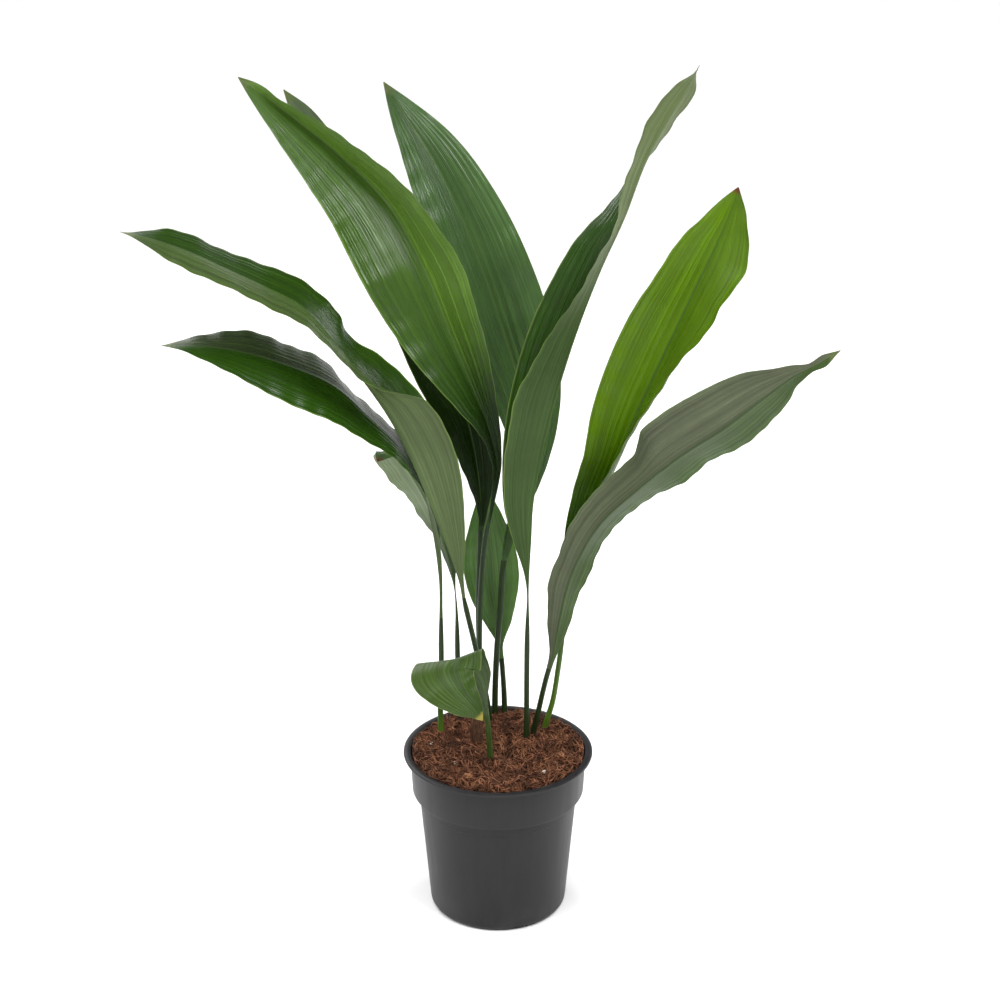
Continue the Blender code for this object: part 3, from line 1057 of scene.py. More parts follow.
def left_leaves() -> list[Leaf]:
    """Describe the three leaves that lean left.

    Returns:
        The leaves.
    """
    stem = StalkSkin("stalk_left")
    return [
        Leaf("leaf_left_long", "leaf_dark", 25, 1.0,
             ((-8, 54, 150), (-19, 44, 225), (-28, 36, 272)),
             ((-34, 29, 304, 4, 60, 80), (-44, 18, 343, 16, 60, 80), (-57, 5, 387, 29, 62, 82),
              (-73, -9, 435, 38, 62, 80), (-92, -22, 480, 39, 48, 62), (-106, -29, 505, 38, 15, 45),
              (-119, -36, 527, 36, -8, 32), (-136, -45, 553, 31, -20, 40), (-157, -52, 580, 31, -20, 38),
              (-183, -59, 597, 34, -20, 24), (-213, -66, 614, 33, -18, 20), (-242, -72, 630, 27, -24, 22),
              (-268, -80, 642, 16, -28, 18), (-291, -86, 649, 0.5, 0, 0)),
             # Painted sheen: the near left half is a pale grey-green against the dark green far half.
             LeafSkin("long_leaf_upper", (0.060, 0.100, 0.026), (0.020, 0.058, 0.003),
                      contrast=0.42, relief=0.32, roughness=0.26, seed=1.0),
             LeafSkin("long_leaf_under", (0.100, 0.145, 0.052), (0.09, 0.13, 0.05),
                      roughness=0.5, gloss=0.22, relief=0.5, seed=2.0),
             stem, Waves(0.0018, 0.075, 0.4), curl=(-16, -10)),
        Leaf("leaf_left_low", "leaf_dark", 25, 1.0,
             ((-52, 34, 150), (-51, 28, 237)),
             ((-52, 24, 314, 3, 50, 70), (-57, 19, 360, 8, 10, 70), (-67, 13, 408, 13, -25, 65),
              (-83, 1, 442, 22, -34, 25), (-107, -13, 473, 31, -34, 12), (-136, -29, 507, 37, -46, 18),
              (-167, -42, 526, 37, -45, 18), (-203, -52, 541, 30, -38, 25), (-236, -60, 549, 17, -25, 20),
              (-268, -68, 552, 0.5, 0, 0)),
             # Painted sheen: the far right half is a paler grey-green than the dark near half.
             LeafSkin("low_left_upper", (0.022, 0.072, 0.002), (0.050, 0.080, 0.026),
                      contrast=0.42, relief=0.32, roughness=0.26, seed=3.0),
             dull_under("low_left_under", 4.0),
             StalkSkin("stalk_left_low", foot=(0.10, 0.21, 0.02), top_height=0.19), Waves(0.0012, 0.07, 1.9)),
        Leaf("leaf_left_curled", "leaf_pale", 70, 1.0,
             ((-36, 63, 150), (-37, 61, 212)),
             ((-41, 59, 297, 3, 30, 30), (-48, 56, 328, 13, 35, 35), (-58, 52, 359, 24, 25, 25),
              (-70, 46, 389, 29, 20, 15), (-81, 43, 409, 29, 15, 5), (-90, 37, 422, 23, 10, -10),
              (-98, 28, 427, 12, 0, -20), (-104, 22, 420, 0.5, 0, 0)),
             LeafSkin("curled_left_upper", (0.045, 0.12, 0.015), (0.05, 0.13, 0.02),
                      tip=BROWN_TIP, tip_length=0.004, seed=5.0),
             LeafSkin("curled_left_under", (0.21, 0.27, 0.15), (0.19, 0.25, 0.13), tip=BROWN_TIP,
                      base=(0.045, 0.080, 0.024), base_from=0.085, base_to=0.140,
                      tip_length=0.004, roughness=0.48, gloss=0.3, glow=0.2, seed=6.0),
             stem, Waves(0.0012, 0.05, 2.6)),
    ]


def middle_leaves() -> list[Leaf]:
    """Describe the four leaves that stand in the middle.

    Returns:
        The leaves.
    """
    stem = StalkSkin("stalk_middle")
    return [
        Leaf("leaf_centre_broad", "leaf_mid", -75, 0.75,
             ((-16, 60, 150), (-17, 60, 217), (-16, 60, 272), (-12, 59, 327)),
             ((-5, 58, 370, 4, 60, 60), (-1, 57, 404, 8, 50, 60), (-7, 55, 436, 15, 48, 50),
              (-21, 53, 475, 29, 36, 45), (-40, 54, 522, 42, 14, 42), (-64, 60, 581, 53, 5, 54),
              (-95, 73, 635, 51, 0, 76), (-132, 83, 671, 40, 0, 84), (-170, 91, 701, 25, 0, 84),
              (-200, 96, 723, 11, 0, 70), (-218, 98, 736, 0.5, 0, 0)),
             # Painted light: the right half is about twice as bright, standing in for sheen and light coming
             # through; the dark base colour near the foot is painted shade.
             LeafSkin("broad_leaf_upper", (0.056, 0.125, 0.013), (0.120, 0.240, 0.026),
                      margin=(0.17, 0.27, 0.06), base=(0.018, 0.052, 0.004), base_from=0.24, base_to=0.37,
                      roughness=0.25, gloss=0.48, glow=0.18, seed=7.0),
             dull_under("broad_leaf_under", 8.0, glow=0.2),
             stem, Waves(0.0016, 0.080, 0.9), curl=(-18, -18)),
        Leaf("leaf_behind_left", "leaf_dark", -75, 0.85,
             ((-12, 66, 150), (-17, 68, 213), (-18, 69, 268), (-16, 70, 327)),
             ((-15, 71, 351, 6, 50, 30), (-18, 72, 393, 20, 45, 30), (-25, 74, 432, 27, 30, 30),
              (-40, 82, 474, 31, 10, 25), (-60, 90, 519, 32, 10, 20), (-86, 101, 576, 29, 10, 15),
              (-118, 110, 623, 26, 10, 15), (-147, 119, 665, 18, 10, 10), (-170, 122, 704, 9, 5, 5),
              (-183, 124, 721, 0.5, 0, 0)),
             # Painted shade: the near-black base colour covers all of the blade but the last 5 to 13 cm
             # before the tip.
             LeafSkin("hind_left_upper", (0.110, 0.150, 0.080), (0.090, 0.135, 0.060),
                      base=(0.010, 0.027, 0.002), base_from=0.05, base_to=0.13,
                      gloss=0.2, glow=0.05, contrast=0.45, seed=9.0),
             dull_under("hind_left_under", 10.0, (0.05, 0.08, 0.03)),
             stem, Waves(0.0012, 0.07, 2.2)),
        Leaf("leaf_behind_centre", "leaf_dark", -80, 1.0,
             ((-3, 65, 150), (-1, 69, 218), (2, 73, 257), (4, 77, 290)),
             ((7, 81, 318, 7, 60, 50), (13, 86, 345, 11, 60, 50), (22, 92, 378, 18, 50, 40),
              (26, 98, 422, 28, 40, 30), (20, 105, 462, 38, 30, 25), (8, 111, 500, 43, 22, 20),
              (-8, 120, 548, 43, 20, 18), (-31, 131, 606, 38, 18, 18), (-61, 141, 665, 26, 15, 15),
              (-84, 147, 700, 12, 10, 10), (-99, 150, 723, 0.5, 0, 0)),
             # Partly painted sheen: both halves are lighter than the leaf's own green, the right half most.
             LeafSkin("hind_tall_upper", (0.046, 0.106, 0.022), (0.068, 0.138, 0.038),
                      margin=(0.10, 0.17, 0.035), contrast=0.42, relief=0.65,
                      roughness=0.25, gloss=0.50, seed=11.0),
             dull_under("hind_tall_under", 12.0),
             stem, Waves(0.0016, 0.085, 1.2), stalk_radius=0.0028),
        Leaf("leaf_behind_small", "leaf_pale", -90, 1.0,
             ((6, 69, 150), (4, 76, 196)),
             ((2, 81, 217, 3, 25, 25), (0, 85, 241, 14, 25, 25), (-4, 89, 270, 24, 20, 20),
              (-7, 93, 299, 26, 15, 15), (-10, 97, 338, 15, 10, 10), (-13, 100, 370, 0.5, 0, 0)),
             LeafSkin("small_hind_upper", (0.082, 0.180, 0.036), (0.110, 0.230, 0.048),
                      margin=(0.18, 0.26, 0.07), contrast=0.4, roughness=0.3, seed=13.0),
             dull_under("small_hind_under", 14.0),
             stem, Waves(0.0010, 0.05, 0.2)),
    ]


def right_leaves() -> list[Leaf]:
    """Describe the three leaves that lean right and the curled one in front.

    Returns:
        The leaves.
    """
    stem = StalkSkin("stalk_right")
    return [
        Leaf("leaf_right_tall", "leaf_mid", 180, 1.0,
             ((26, 24, 150), (26, 24, 239)),
             ((27, 24, 313, 4, 85, 75), (28, 24, 345, 15, 90, 75), (29, 24, 375, 24, 92, 75),
              (35, 24, 415, 32, 92, 74), (47, 26, 470, 38, 86, 66), (66, 28, 536, 38, 76, 38),
              (85, 30, 588, 32, 70, 20), (104, 32, 632, 26, 35, 20), (121, 34, 679, 24, -12, 35),
              (141, 36, 717, 21, -28, 48), (155, 37, 741, 14, -38, 38), (163, 38, 756, 0.5, 0, 0)),
             LeafSkin("tall_right_upper", (0.022, 0.066, 0.003), (0.018, 0.054, 0.003),
                      tip=BROWN_TIP, tip_length=0.005, gloss=0.26, seed=15.0),
             LeafSkin("tall_right_under", (0.132, 0.172, 0.064), (0.120, 0.164, 0.055),
                      tip=BROWN_TIP, tip_length=0.005,
                      base=(0.050, 0.094, 0.023), base_from=0.13, base_to=0.26,
                      roughness=0.52, gloss=0.22, relief=0.5, seed=16.0),
             stem, Waves(0.0014, 0.070, 3.0), curl=(-12, -14)),
        Leaf("leaf_right_bright", "leaf_bright", -110, 1.0,
             ((43, 42, 150), (50, 43, 178), (55, 44, 213), (60, 46, 259)),
             ((66, 50, 296, 6, 50, 80), (76, 56, 332, 18, 30, 85), (90, 60, 369, 26, 35, 85),
              (105, 61, 405, 34, 40, 84), (121, 61, 448, 40, 25, 74), (142, 62, 499, 43, 20, 60),
              (166, 64, 555, 40, 36, 34), (184, 68, 595, 34, 45, 8), (196, 71, 625, 18, 40, 5),
              (203, 73, 648, 0.5, 0, 0)),
             # The bright yellow-green is partly the young leaf's own paler tone and partly painted light
             # coming through; the darker base colour near the foot is painted shade of the leaves above.
             LeafSkin("bright_leaf_upper", (0.125, 0.235, 0.005), (0.110, 0.205, 0.010),
                      margin=(0.20, 0.30, 0.07), midrib=(0.05, 0.12, 0.01), tip=BROWN_TIP, tip_length=0.005,
                      base=(0.022, 0.060, 0.005), base_from=0.18, base_to=0.36, contrast=0.28,
                      gloss=0.30, glow=0.30, seed=17.0),
             LeafSkin("bright_leaf_under", (0.12, 0.19, 0.05), (0.12, 0.18, 0.06), tip=BROWN_TIP,
                      tip_length=0.005, roughness=0.5, gloss=0.25, glow=0.30, seed=18.0),
             StalkSkin("stalk_bright", foot=(0.10, 0.20, 0.015), top=(0.055, 0.115, 0.014), top_height=0.24),
             Waves(0.0020, 0.075, 0.5), curl=(-14, -10), roll=(0, 40)),
        Leaf("leaf_right_low", "leaf_mid", 80, 1.0,
             ((32, 32, 150), (36, 30, 171), (43, 26, 208)),
             ((49, 22, 235, 4, 30, 30), (54, 17, 270, 13, 40, 25), (64, 9, 320, 22, 50, 42),
              (86, 0, 368, 30, 58, 55), (124, -12, 412, 36, 48, 60), (152, -20, 440, 38, 42, 15),
              (186, -30, 468, 37, 38, 15), (220, -39, 500, 25, 32, 20), (242, -45, 520, 9, 20, 10),
              (253, -48, 527, 4, -30, 35), (264, -50, 534, 6, -60, 60), (276, -52, 543, 0.5, -70, 70)),
             LeafSkin("low_right_upper", (0.036, 0.095, 0.012), (0.036, 0.095, 0.012), seed=19.0),
             LeafSkin("low_right_under", (0.056, 0.102, 0.022), (0.106, 0.124, 0.070),
                      midrib=(0.035, 0.060, 0.018), margin=(0.10, 0.17, 0.05),
                      roughness=0.45, gloss=0.24, relief=0.6, seed=20.0),
             stem, Waves(0.0024, 0.060, 1.1), curl=(-16, -10)),
        Leaf("leaf_front_curled", "leaf_bright", 90, 1.0,
             ((-7, -17, 150), (-10, -22, 198)),
             ((-12, -24, 215, 5, 50, 50), (-18, -27, 234, 14, 22, 30), (-30, -32, 250, 24, 5, -8),
              (-41, -42, 262, 32, 10, -24), (-46, -55, 258, 31, 8, -24),
              (-41, -66, 251, 25, 4, -14), (-31, -73, 241, 17, 0, -6), (-20, -77, 231, 9, 0, 0),
              (-13, -78, 222, 0.5, 0, 0)),
             LeafSkin("front_leaf_upper", (0.034, 0.074, 0.005), (0.044, 0.088, 0.008),
                      margin=(0.16, 0.22, 0.07), tip=YELLOW_TIP, tip_length=0.005,
                      roughness=0.33, gloss=0.28, glow=0.12, seed=21.0),
             LeafSkin("front_leaf_under", (0.050, 0.090, 0.022), (0.050, 0.090, 0.022),
                      tip=YELLOW_TIP, tip_length=0.006, roughness=0.45, gloss=0.3, seed=22.0),
             StalkSkin("stalk_front", foot=(0.055, 0.105, 0.02), top=(0.040, 0.075, 0.018)),
             Waves(0.0010, 0.045, 0.3), curl=(-6, -6)),
    ]


# ------------------------------------------------------------------------------- pot
@dataclass
class NurseryPot:
    """A thin moulded pot: flat base, tapered wall, wider collar and a flat lip."""

    segments: int = 144
    notches: int = 4
    first_notch: float = -71.0
    notch_reach: float = 0.060
    notch_height: float = 0.001
    notch_size: Point = (0.024, 0.013, 0.004)
    notch_rounding: float = 0.0009
    smooth_degrees: float = 38.0
    profile: Profile = (
        (0.0480, 0.0000), (0.0570, 0.0000), (0.0592, 0.0004), (0.0608, 0.0016), (0.0618, 0.0034),
        (0.0622, 0.0060), (0.0668, 0.0600), (0.0705, 0.1018), (0.0707, 0.1034), (0.0714, 0.1040),
        (0.0716, 0.1052), (0.0718, 0.1124), (0.0722, 0.1134), (0.0760, 0.1137), (0.0768, 0.1141),
        (0.0773, 0.1152), (0.0789, 0.1470), (0.0792, 0.1489), (0.0798, 0.1497), (0.0838, 0.1500),
        (0.0847, 0.1504), (0.0850, 0.1511), (0.0849, 0.1519), (0.0843, 0.1524), (0.0800, 0.1526),
        (0.0788, 0.1523), (0.0781, 0.1514), (0.0778, 0.1490), (0.0760, 0.1160), (0.0752, 0.1148),
        (0.0712, 0.1140), (0.0704, 0.1128), (0.0610, 0.0075), (0.0590, 0.0030), (0.0550, 0.0020),
        (0.0300, 0.0020))

    def wall(self) -> Piece:
        """Draw the ring at the base up, over the lip and down the inside, then close both ends.

        Returns:
            The closed moulding.
        """
        start_piece()
        radius, height = self.profile[0]
        bpy.ops.mesh.primitive_circle_add(vertices=self.segments, radius=radius, location=(0, 0, height))
        pot = name_piece("pot_moulded")
        bpy.ops.object.mode_set(mode="EDIT")
        bpy.ops.mesh.select_mode(type="EDGE")
        bpy.ops.mesh.select_all(action="SELECT")
        bpy.ops.mesh.duplicate()
        bpy.ops.mesh.edge_face_add()
        bpy.ops.mesh.poke()
        bpy.ops.mesh.select_all(action="INVERT")
        follow_profile(radius, height, self.profile[1:])
        bpy.ops.mesh.edge_face_add()
        bpy.ops.mesh.poke()
        bpy.ops.mesh.select_all(action="SELECT")
        bpy.ops.mesh.remove_doubles(threshold=LEVEL)
        bpy.ops.mesh.normals_make_consistent(inside=False)
        bpy.ops.object.mode_set(mode="OBJECT")
        settle(pot)
        return pot

    def cut_notches(self, pot: Piece) -> None:
        """Cut the drain notches through the foot of the wall.

        Args:
            pot: the closed moulding.
        """
        for index in range(self.notches):
            angle = math.radians(self.first_notch + 360.0 * index / self.notches)
            side, back = math.cos(angle), math.sin(angle)
            middle = (self.notch_reach * side, self.notch_reach * back, self.notch_height)
            start_piece()
            bpy.ops.mesh.primitive_cube_add(
                size=1.0, location=middle, rotation=(0, 0, angle), scale=self.notch_size)
            cutter = name_piece("notch_cutter")
            settle(cutter)
            apply_modifier(cutter, "BEVEL", width=self.notch_rounding, segments=3)
            apply_modifier(pot, "BOOLEAN", operation="DIFFERENCE", solver="EXACT", object=cutter)
            bpy.data.objects.remove(cutter, do_unlink=True)

    def build(self) -> Piece:
        """Model the pot and dress it.

        Returns:
            The pot.
        """
        pot = self.wall()
        self.cut_notches(pot)
        pot.data.materials.clear()
        pot.data.materials.append(PotPlastic().material())
        smooth(pot, self.smooth_degrees)
        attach(pot, "root")
        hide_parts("pot")
        return pot


# ---------------------------------------------------------------------- potting mix
@dataclass(frozen=True)
class FibreKind:
    """One kind of coir fibre: how many there are, and the radii they come in."""

    count: int
    radii: tuple[float, ...]


@dataclass
class PottingMix:
    """Coarse coir mix: an uneven bed, with fibres lying every way and crumbs between them.

    A hollow is a place on the bed, a width and a depth. A wave is the bed's unevenness at one
    fineness: a depth, its waves in a metre, and a number that sets it apart.
    """

    top: float = 0.1485
    radius: float = 0.0772
    around: int = 96
    insets: tuple[float, ...] = (
        0.96, 0.92, 0.90, 0.88, 0.86, 0.84, 0.82, 0.80, 0.78, 0.74, 0.70, 0.62, 0.50, 0.35)
    plug: Profile = ((0.0748, 0.1170), (0.0702, 0.1130), (0.0600, 0.0080), (0.0540, 0.0030))
    sink: float = 0.0012
    waves: tuple[Point, ...] = ((0.0036, 62, 2.0), (0.0022, 190, 5.0))
    crown: float = 0.0016
    crown_radius: float = 0.075
    bank: float = 0.0024
    bank_from: float = 0.045
    bank_width: float = 0.025
    hollows: tuple[tuple[float, float, float, float], ...] = (
        (0.004, 0.004, 0.015, 0.009), (0.018, -0.006, 0.008, 0.005), (-0.030, 0.030, 0.010, 0.004),
        (-0.010, -0.006, 0.007, 0.003), (0.040, 0.020, 0.008, 0.004))
    fibre_kinds: tuple[FibreKind, ...] = (
        FibreKind(3400, (0.00014, 0.00020, 0.00028)), FibreKind(1900, (0.00036, 0.00048, 0.00064)))
    fibre_start: float = 0.074
    fibre_limit: float = 0.0770
    fibre_length: tuple[float, float] = (0.005, 0.022)
    fibre_bend: float = 3.0
    fibre_lift: tuple[float, float] = (-0.0014, 0.0036)
    fibre_arch: tuple[float, float] = (-0.0014, 0.0040)
    fibre_taper: tuple[float, ...] = (1.0, 1.1, 1.0, 0.9, 0.75, 0.35)
    crumbs: int = 1500
    crumb_reach: float = 0.0763
    crumb_sizes: tuple[float, ...] = (0.0005, 0.0007, 0.0009, 0.0013)
    crumb_stretch: tuple[float, float] = (0.6, 1.3)
    crumb_jitter: tuple[float, float] = (0.75, 1.25)
    crumb_lift: tuple[float, float] = (-0.0006, 0.0008)
    smooth_degrees: float = 70.0

    FIBRE_SEED = 40
    CRUMB_SEED = 7
    FIBRE_SIDES = (0.5, 2.6, 4.7)
    TINY = 1e-12

    def height(self, x: float, y: float) -> float:
        """Work out the bed's height.

        Args:
            x: the place to the right.
            y: the place to the back.

        Returns:
            The height there.
        """
        reach = math.hypot(x, y)
        rise = sum(depth * noise.noise(Vector((x * often, y * often, apart)))
                   for depth, often, apart in self.waves)
        rise += self.crown * max(0.0, 1.0 - reach / self.crown_radius)
        rise += self.bank * min(1.0, max(0.0, (reach - self.bank_from) / self.bank_width))
        for cx, cy, width, depth in self.hollows:
            rise -= depth * math.exp(-((x - cx) ** 2 + (y - cy) ** 2) / width ** 2)
        return self.top + rise

    def bed(self, finish: bpy.types.Material) -> Piece:
        """Model the bed as a closed plug that fills the pot.

        Args:
            finish: the mix's material.

        Returns:
            The bed.
        """
        start_piece()
        bpy.ops.mesh.primitive_circle_add(
            vertices=self.around, radius=self.radius, location=(0, 0, self.top), fill_type="NGON")
        bed = name_piece("coir_bed")
        bpy.ops.object.mode_set(mode="EDIT")
        bpy.ops.mesh.select_mode(type="FACE")
        bpy.ops.mesh.select_all(action="SELECT")
        for factor in self.insets:
            bpy.ops.mesh.inset(thickness=LEVEL)
            bpy.ops.transform.resize(value=(factor, factor, 1), center_override=(0, 0, self.top))
        bpy.ops.mesh.poke()
        bpy.ops.mesh.select_all(action="DESELECT")
        bpy.ops.mesh.select_mode(type="EDGE")
        bpy.ops.mesh.select_non_manifold(
            extend=False, use_boundary=True, use_wire=False, use_multi_face=False,
            use_non_contiguous=False, use_verts=False)
        follow_profile(self.radius, self.top, self.plug)
        bpy.ops.mesh.edge_face_add()
        bpy.ops.mesh.poke()
        bpy.ops.object.mode_set(mode="OBJECT")
        settle(bed)
        points = get_points(bed)
        for point in points:
            if point[2] > self.top - MM / 2:
                point[2] = self.height(point[0], point[1]) - self.sink
        set_points(bed, points)
        face_outwards(bed)
        bed.data.materials.append(finish)
        smooth(bed, self.smooth_degrees)
        return bed

    def fibre(self, rand: random.Random) -> np.ndarray:
        """Lay one fibre on the bed.

        Args:
            rand: the source of chance.

        Returns:
            The fibre's middle line.
        """
        reach = self.fibre_start * math.sqrt(rand.random())
        bearing = rand.uniform(0, FULL_TURN)
        x, y = reach * math.cos(bearing), reach * math.sin(bearing)
        heading = rand.uniform(0, FULL_TURN)
        length = rand.uniform(*self.fibre_length)
        bend = rand.uniform(-self.fibre_bend, self.fibre_bend)
        lift = rand.uniform(*self.fibre_lift)
        arch = rand.uniform(*self.fibre_arch)
        steps = len(self.fibre_taper) - 1
        points = []
        for step in range(steps + 1):
            t = step / steps
            points.append((x, y, self.height(x, y) + lift * (1 - t) + arch * math.sin(math.pi * t)))
            heading += bend / steps
            x += math.cos(heading) * length / steps
            y += math.sin(heading) * length / steps
            far = math.hypot(x, y)
            if far > self.fibre_limit:
                x, y = x * self.fibre_limit / far, y * self.fibre_limit / far
        return np.array(points)

    def fibre_batch(self, index: int, finish: bpy.types.Material) -> Piece:
        """Build one kind of fibre as one piece.

        Args:
            index: the kind's number, which seeds it.
            finish: the fibre's material.

        Returns:
            The batch.
        """
        kind = self.fibre_kinds[index]
        rand = random.Random(self.FIBRE_SEED + index)
        steps = len(self.fibre_taper) - 1
        last = 3 * steps
        corners = []
        faces = []
        for _ in range(kind.count):
            line = self.fibre(rand)
            thick = rand.choice(kind.radii)
            along = np.gradient(line, axis=0)
            along /= np.linalg.norm(along, axis=1)[:, None] + self.TINY
            side = np.cross(along, (0.0, 0.0, 1.0))
            side /= np.linalg.norm(side, axis=1)[:, None] + self.TINY
            over = np.cross(side, along)
            base = len(corners)
            for centre, s, o, taper in zip(line, side, over, self.fibre_taper):
                size = thick * taper
                for angle in self.FIBRE_SIDES:
                    corners.append(centre + size * (math.cos(angle) * s + math.sin(angle) * o))
            for i in range(steps):
                for k in range(3):
                    a, b = base + 3 * i + k, base + 3 * i + (k + 1) % 3
                    faces.append((a, b, b + 3, a + 3))
            faces.append((base + 2, base + 1, base))
            faces.append((base + last, base + last + 1, base + last + 2))
        batch = loose_shapes(f"coir_fibres_{index + 1}", corners, faces, finish)
        face_outwards(batch)
        return batch

    def crumb_layer(self, finish: bpy.types.Material) -> Piece:
        """Scatter small crumbs over the bed as one piece.

        Args:
            finish: the crumbs' material.

        Returns:
            The crumbs.
        """
        rand = random.Random(self.CRUMB_SEED)
        start_piece()
        bpy.ops.mesh.primitive_ico_sphere_add(subdivisions=1, radius=1.0)
        pattern = name_piece("crumb_form")
        form = get_points(pattern)
        loops = [tuple(p.vertices) for p in pattern.data.polygons]
        bpy.data.objects.remove(pattern, do_unlink=True)
        corners = []
        faces = []
        for _ in range(self.crumbs):
            reach = self.crumb_reach * math.sqrt(rand.random())
            bearing = rand.uniform(0, FULL_TURN)
            x, y = reach * math.cos(bearing), reach * math.sin(bearing)
            size = rand.choice(self.crumb_sizes)
            stretch = np.array([rand.uniform(*self.crumb_stretch) for _ in range(3)]) * size
            centre = np.array((x, y, self.height(x, y) + rand.uniform(*self.crumb_lift)))
            jitter = np.array([[rand.uniform(*self.crumb_jitter)] for _ in form])
            base = len(corners)
            corners.extend(form * jitter * stretch + centre)
            faces.extend(tuple(base + v for v in loop) for loop in loops)
        return loose_shapes("coir_crumbs", corners, faces, finish)

    def build(self) -> list[Piece]:
        """Model the bed and what it is made of.

        Returns:
            The pieces.
        """
        coir = RoughStuff("coir_bed_fibre", (0.006, 0.003, 0.002), (0.034, 0.014, 0.008), 260.0,
                          shade=(0.010, 0.005, 0.003))
        strand = RoughStuff("coir_strand", (0.080, 0.029, 0.014), (0.360, 0.155, 0.078), 150.0,
                            roughness=0.78, shade=(0.040, 0.015, 0.008))
        crumb = RoughStuff("coir_crumb", (0.028, 0.012, 0.007), (0.120, 0.052, 0.030), 300.0)
        pieces = [self.bed(coir.material())]
        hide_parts("potting_mix")
        strand_material = strand.material()
        pieces += [self.fibre_batch(index, strand_material) for index in range(len(self.fibre_kinds))]
        pieces.append(self.crumb_layer(crumb.material()))
        for piece in pieces:
            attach(piece, "root")
        return pieces


@dataclass(frozen=True)
class LooseBit:
    """A grain or chip that lies on the mix and stands for a CAD node of its own."""

    node: str
    slot: str
    centre: Point
    half: Point
    turn: float
    seed: float

    LEAN = 0.3
    COARSE = (0.9, 0.55)
    FINE = (2.6, 0.22)
    BLOCK = 0.80
    BLOCKINESS = 0.45
    SMOOTH_DEGREES = 28.0

    def lump(self) -> Piece:
        """Model a ball squeezed, turned and broken up by noise.

        Returns:
            The lump.
        """
        start_piece()
        bpy.ops.mesh.primitive_ico_sphere_add(subdivisions=3, radius=1.0)
        lump = name_piece(f"{self.node}_broken")
        points = get_points(lump)
        for point in points:
            spot = Vector(point)
            facet = noise.noise(spot * self.COARSE[0] + Vector((self.seed, 0, 0))) * self.COARSE[1]
            facet += noise.noise(spot * self.FINE[0] + Vector((0, self.seed, 0))) * self.FINE[1]
            blocky = max(abs(spot.x), abs(spot.y), abs(spot.z))
            point *= (1.0 + facet) * (self.BLOCK / blocky) ** self.BLOCKINESS
        set_points(lump, points)
        lean = (self.LEAN * math.sin(self.seed), self.LEAN * math.cos(self.seed))
        lump.rotation_euler = (*lean, math.radians(self.turn))
        lump.scale = self.half
        lump.location = self.centre
        settle(lump)
        face_outwards(lump)
        return lump

    def build(self, finish: bpy.types.Material) -> Piece:
        """Model the bit and dress it.

        Args:
            finish: the bit's material.

        Returns:
            The bit.
        """
        piece = self.lump()
        piece.data.materials.append(finish)
        smooth(piece, self.SMOOTH_DEGREES)
        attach(piece, "root")
        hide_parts(self.node)
        return piece


LOOSE_BITS = (
    LooseBit("bark_chip_front", "bark", (-0.0250, -0.0520, 0.1531), (0.0056, 0.0036, 0.0026), 20, 0.6),
    LooseBit("bark_chip_right", "bark", (0.0560, -0.0130, 0.1531), (0.0048, 0.0028, 0.0022), -50, 2.3),
    LooseBit("perlite_grain_front", "perlite", (0.0405, -0.0440, 0.1534), (0.0019, 0.0015, 0.0015), 10, 4.0),
    LooseBit("perlite_grain_left", "perlite", (-0.0380, -0.0260, 0.1524), (0.0023, 0.0015, 0.0014), 35, 5.7),
    LooseBit("perlite_grain_rim", "perlite", (-0.0600, 0.0090, 0.1532), (0.0017, 0.0014, 0.0014), 70, 7.4),
)


def build_loose_bits() -> list[Piece]:
    """Model the bark chips and perlite grains.

    Returns:
        The bits.
    """
    bark = RoughStuff("bark_flake", (0.16, 0.06, 0.03), (0.42, 0.20, 0.09), 500.0, grain=(1.0, 0.3, 2.0))
    perlite = RoughStuff("perlite_stone", (0.52, 0.46, 0.40), (0.86, 0.82, 0.76), 900.0)
    finishes = {"bark": bark.material(), "perlite": perlite.material()}
    return [bit.build(finishes[bit.slot]) for bit in LOOSE_BITS]


@dataclass
class DryStub:
    """The dry foot of a leaf that was cut off: a ridged sheath with a torn mouth.

    The path is in millimetres: place and radius.
    """

    path: tuple[tuple[float, float, float, float], ...] = (
        (-19, 18, 132, 4.5), (-19, 19, 150, 5.5), (-20, 20, 166, 4.5), (-20, 21, 178, 2.5))
    around: int = 48
    torn_rings: int = 8

    RING_CUTS = (3, 9)
    SMOOTH_DEGREES = 50.0
    RIDGES = ((9, 0.0, 0.07), (17, 1.0, 0.05))
    RAGS = ((5, 0.6, 1.6), (11, 0.0, 1.1))

    @staticmethod
    def ripples(angle: np.ndarray, waves: tuple[Point, ...]) -> np.ndarray:
        """Add up waves around the stub.

        Args:
            angle: the places around it.
            waves: for each wave its count, shift and height.

        Returns:
            The sum at each place.
        """
        return sum(height * np.sin(count * angle + shift) for count, shift, height in waves)

    def build(self) -> Piece:
        """Model the stub and dress it.

        Returns:
            The stub.
        """
        stub, place, ring, count = ringed_tube("dry_stub_torn", self.around, *self.RING_CUTS)
        rows = smooth_rows(np.array(self.path, float), count)
        angle = math.pi - FULL_TURN * place / self.around
        radius = rows[ring, 3] * (1.0 + self.ripples(angle, self.RIDGES))
        rags = self.ripples(angle, self.RAGS)
        into_mouth = ring - count + self.torn_rings
        x = rows[ring, 0] + radius * np.cos(angle)
        y = rows[ring, 1] + radius * np.sin(angle)
        z = rows[ring, 2] + np.where(into_mouth > 0, rags, 0.0) * into_mouth / self.torn_rings
        set_points(stub, np.stack((x, y, z), axis=1) * MM)
        face_outwards(stub)
        sheath = RoughStuff("dry_sheath", (0.045, 0.022, 0.013), (0.17, 0.085, 0.045), 300.0,
                            grain=(2.5, 2.5, 0.3))
        stub.data.materials.append(sheath.material())
        smooth(stub, self.SMOOTH_DEGREES)
        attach(stub, "root")
        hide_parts("dry_stub")
        return stub


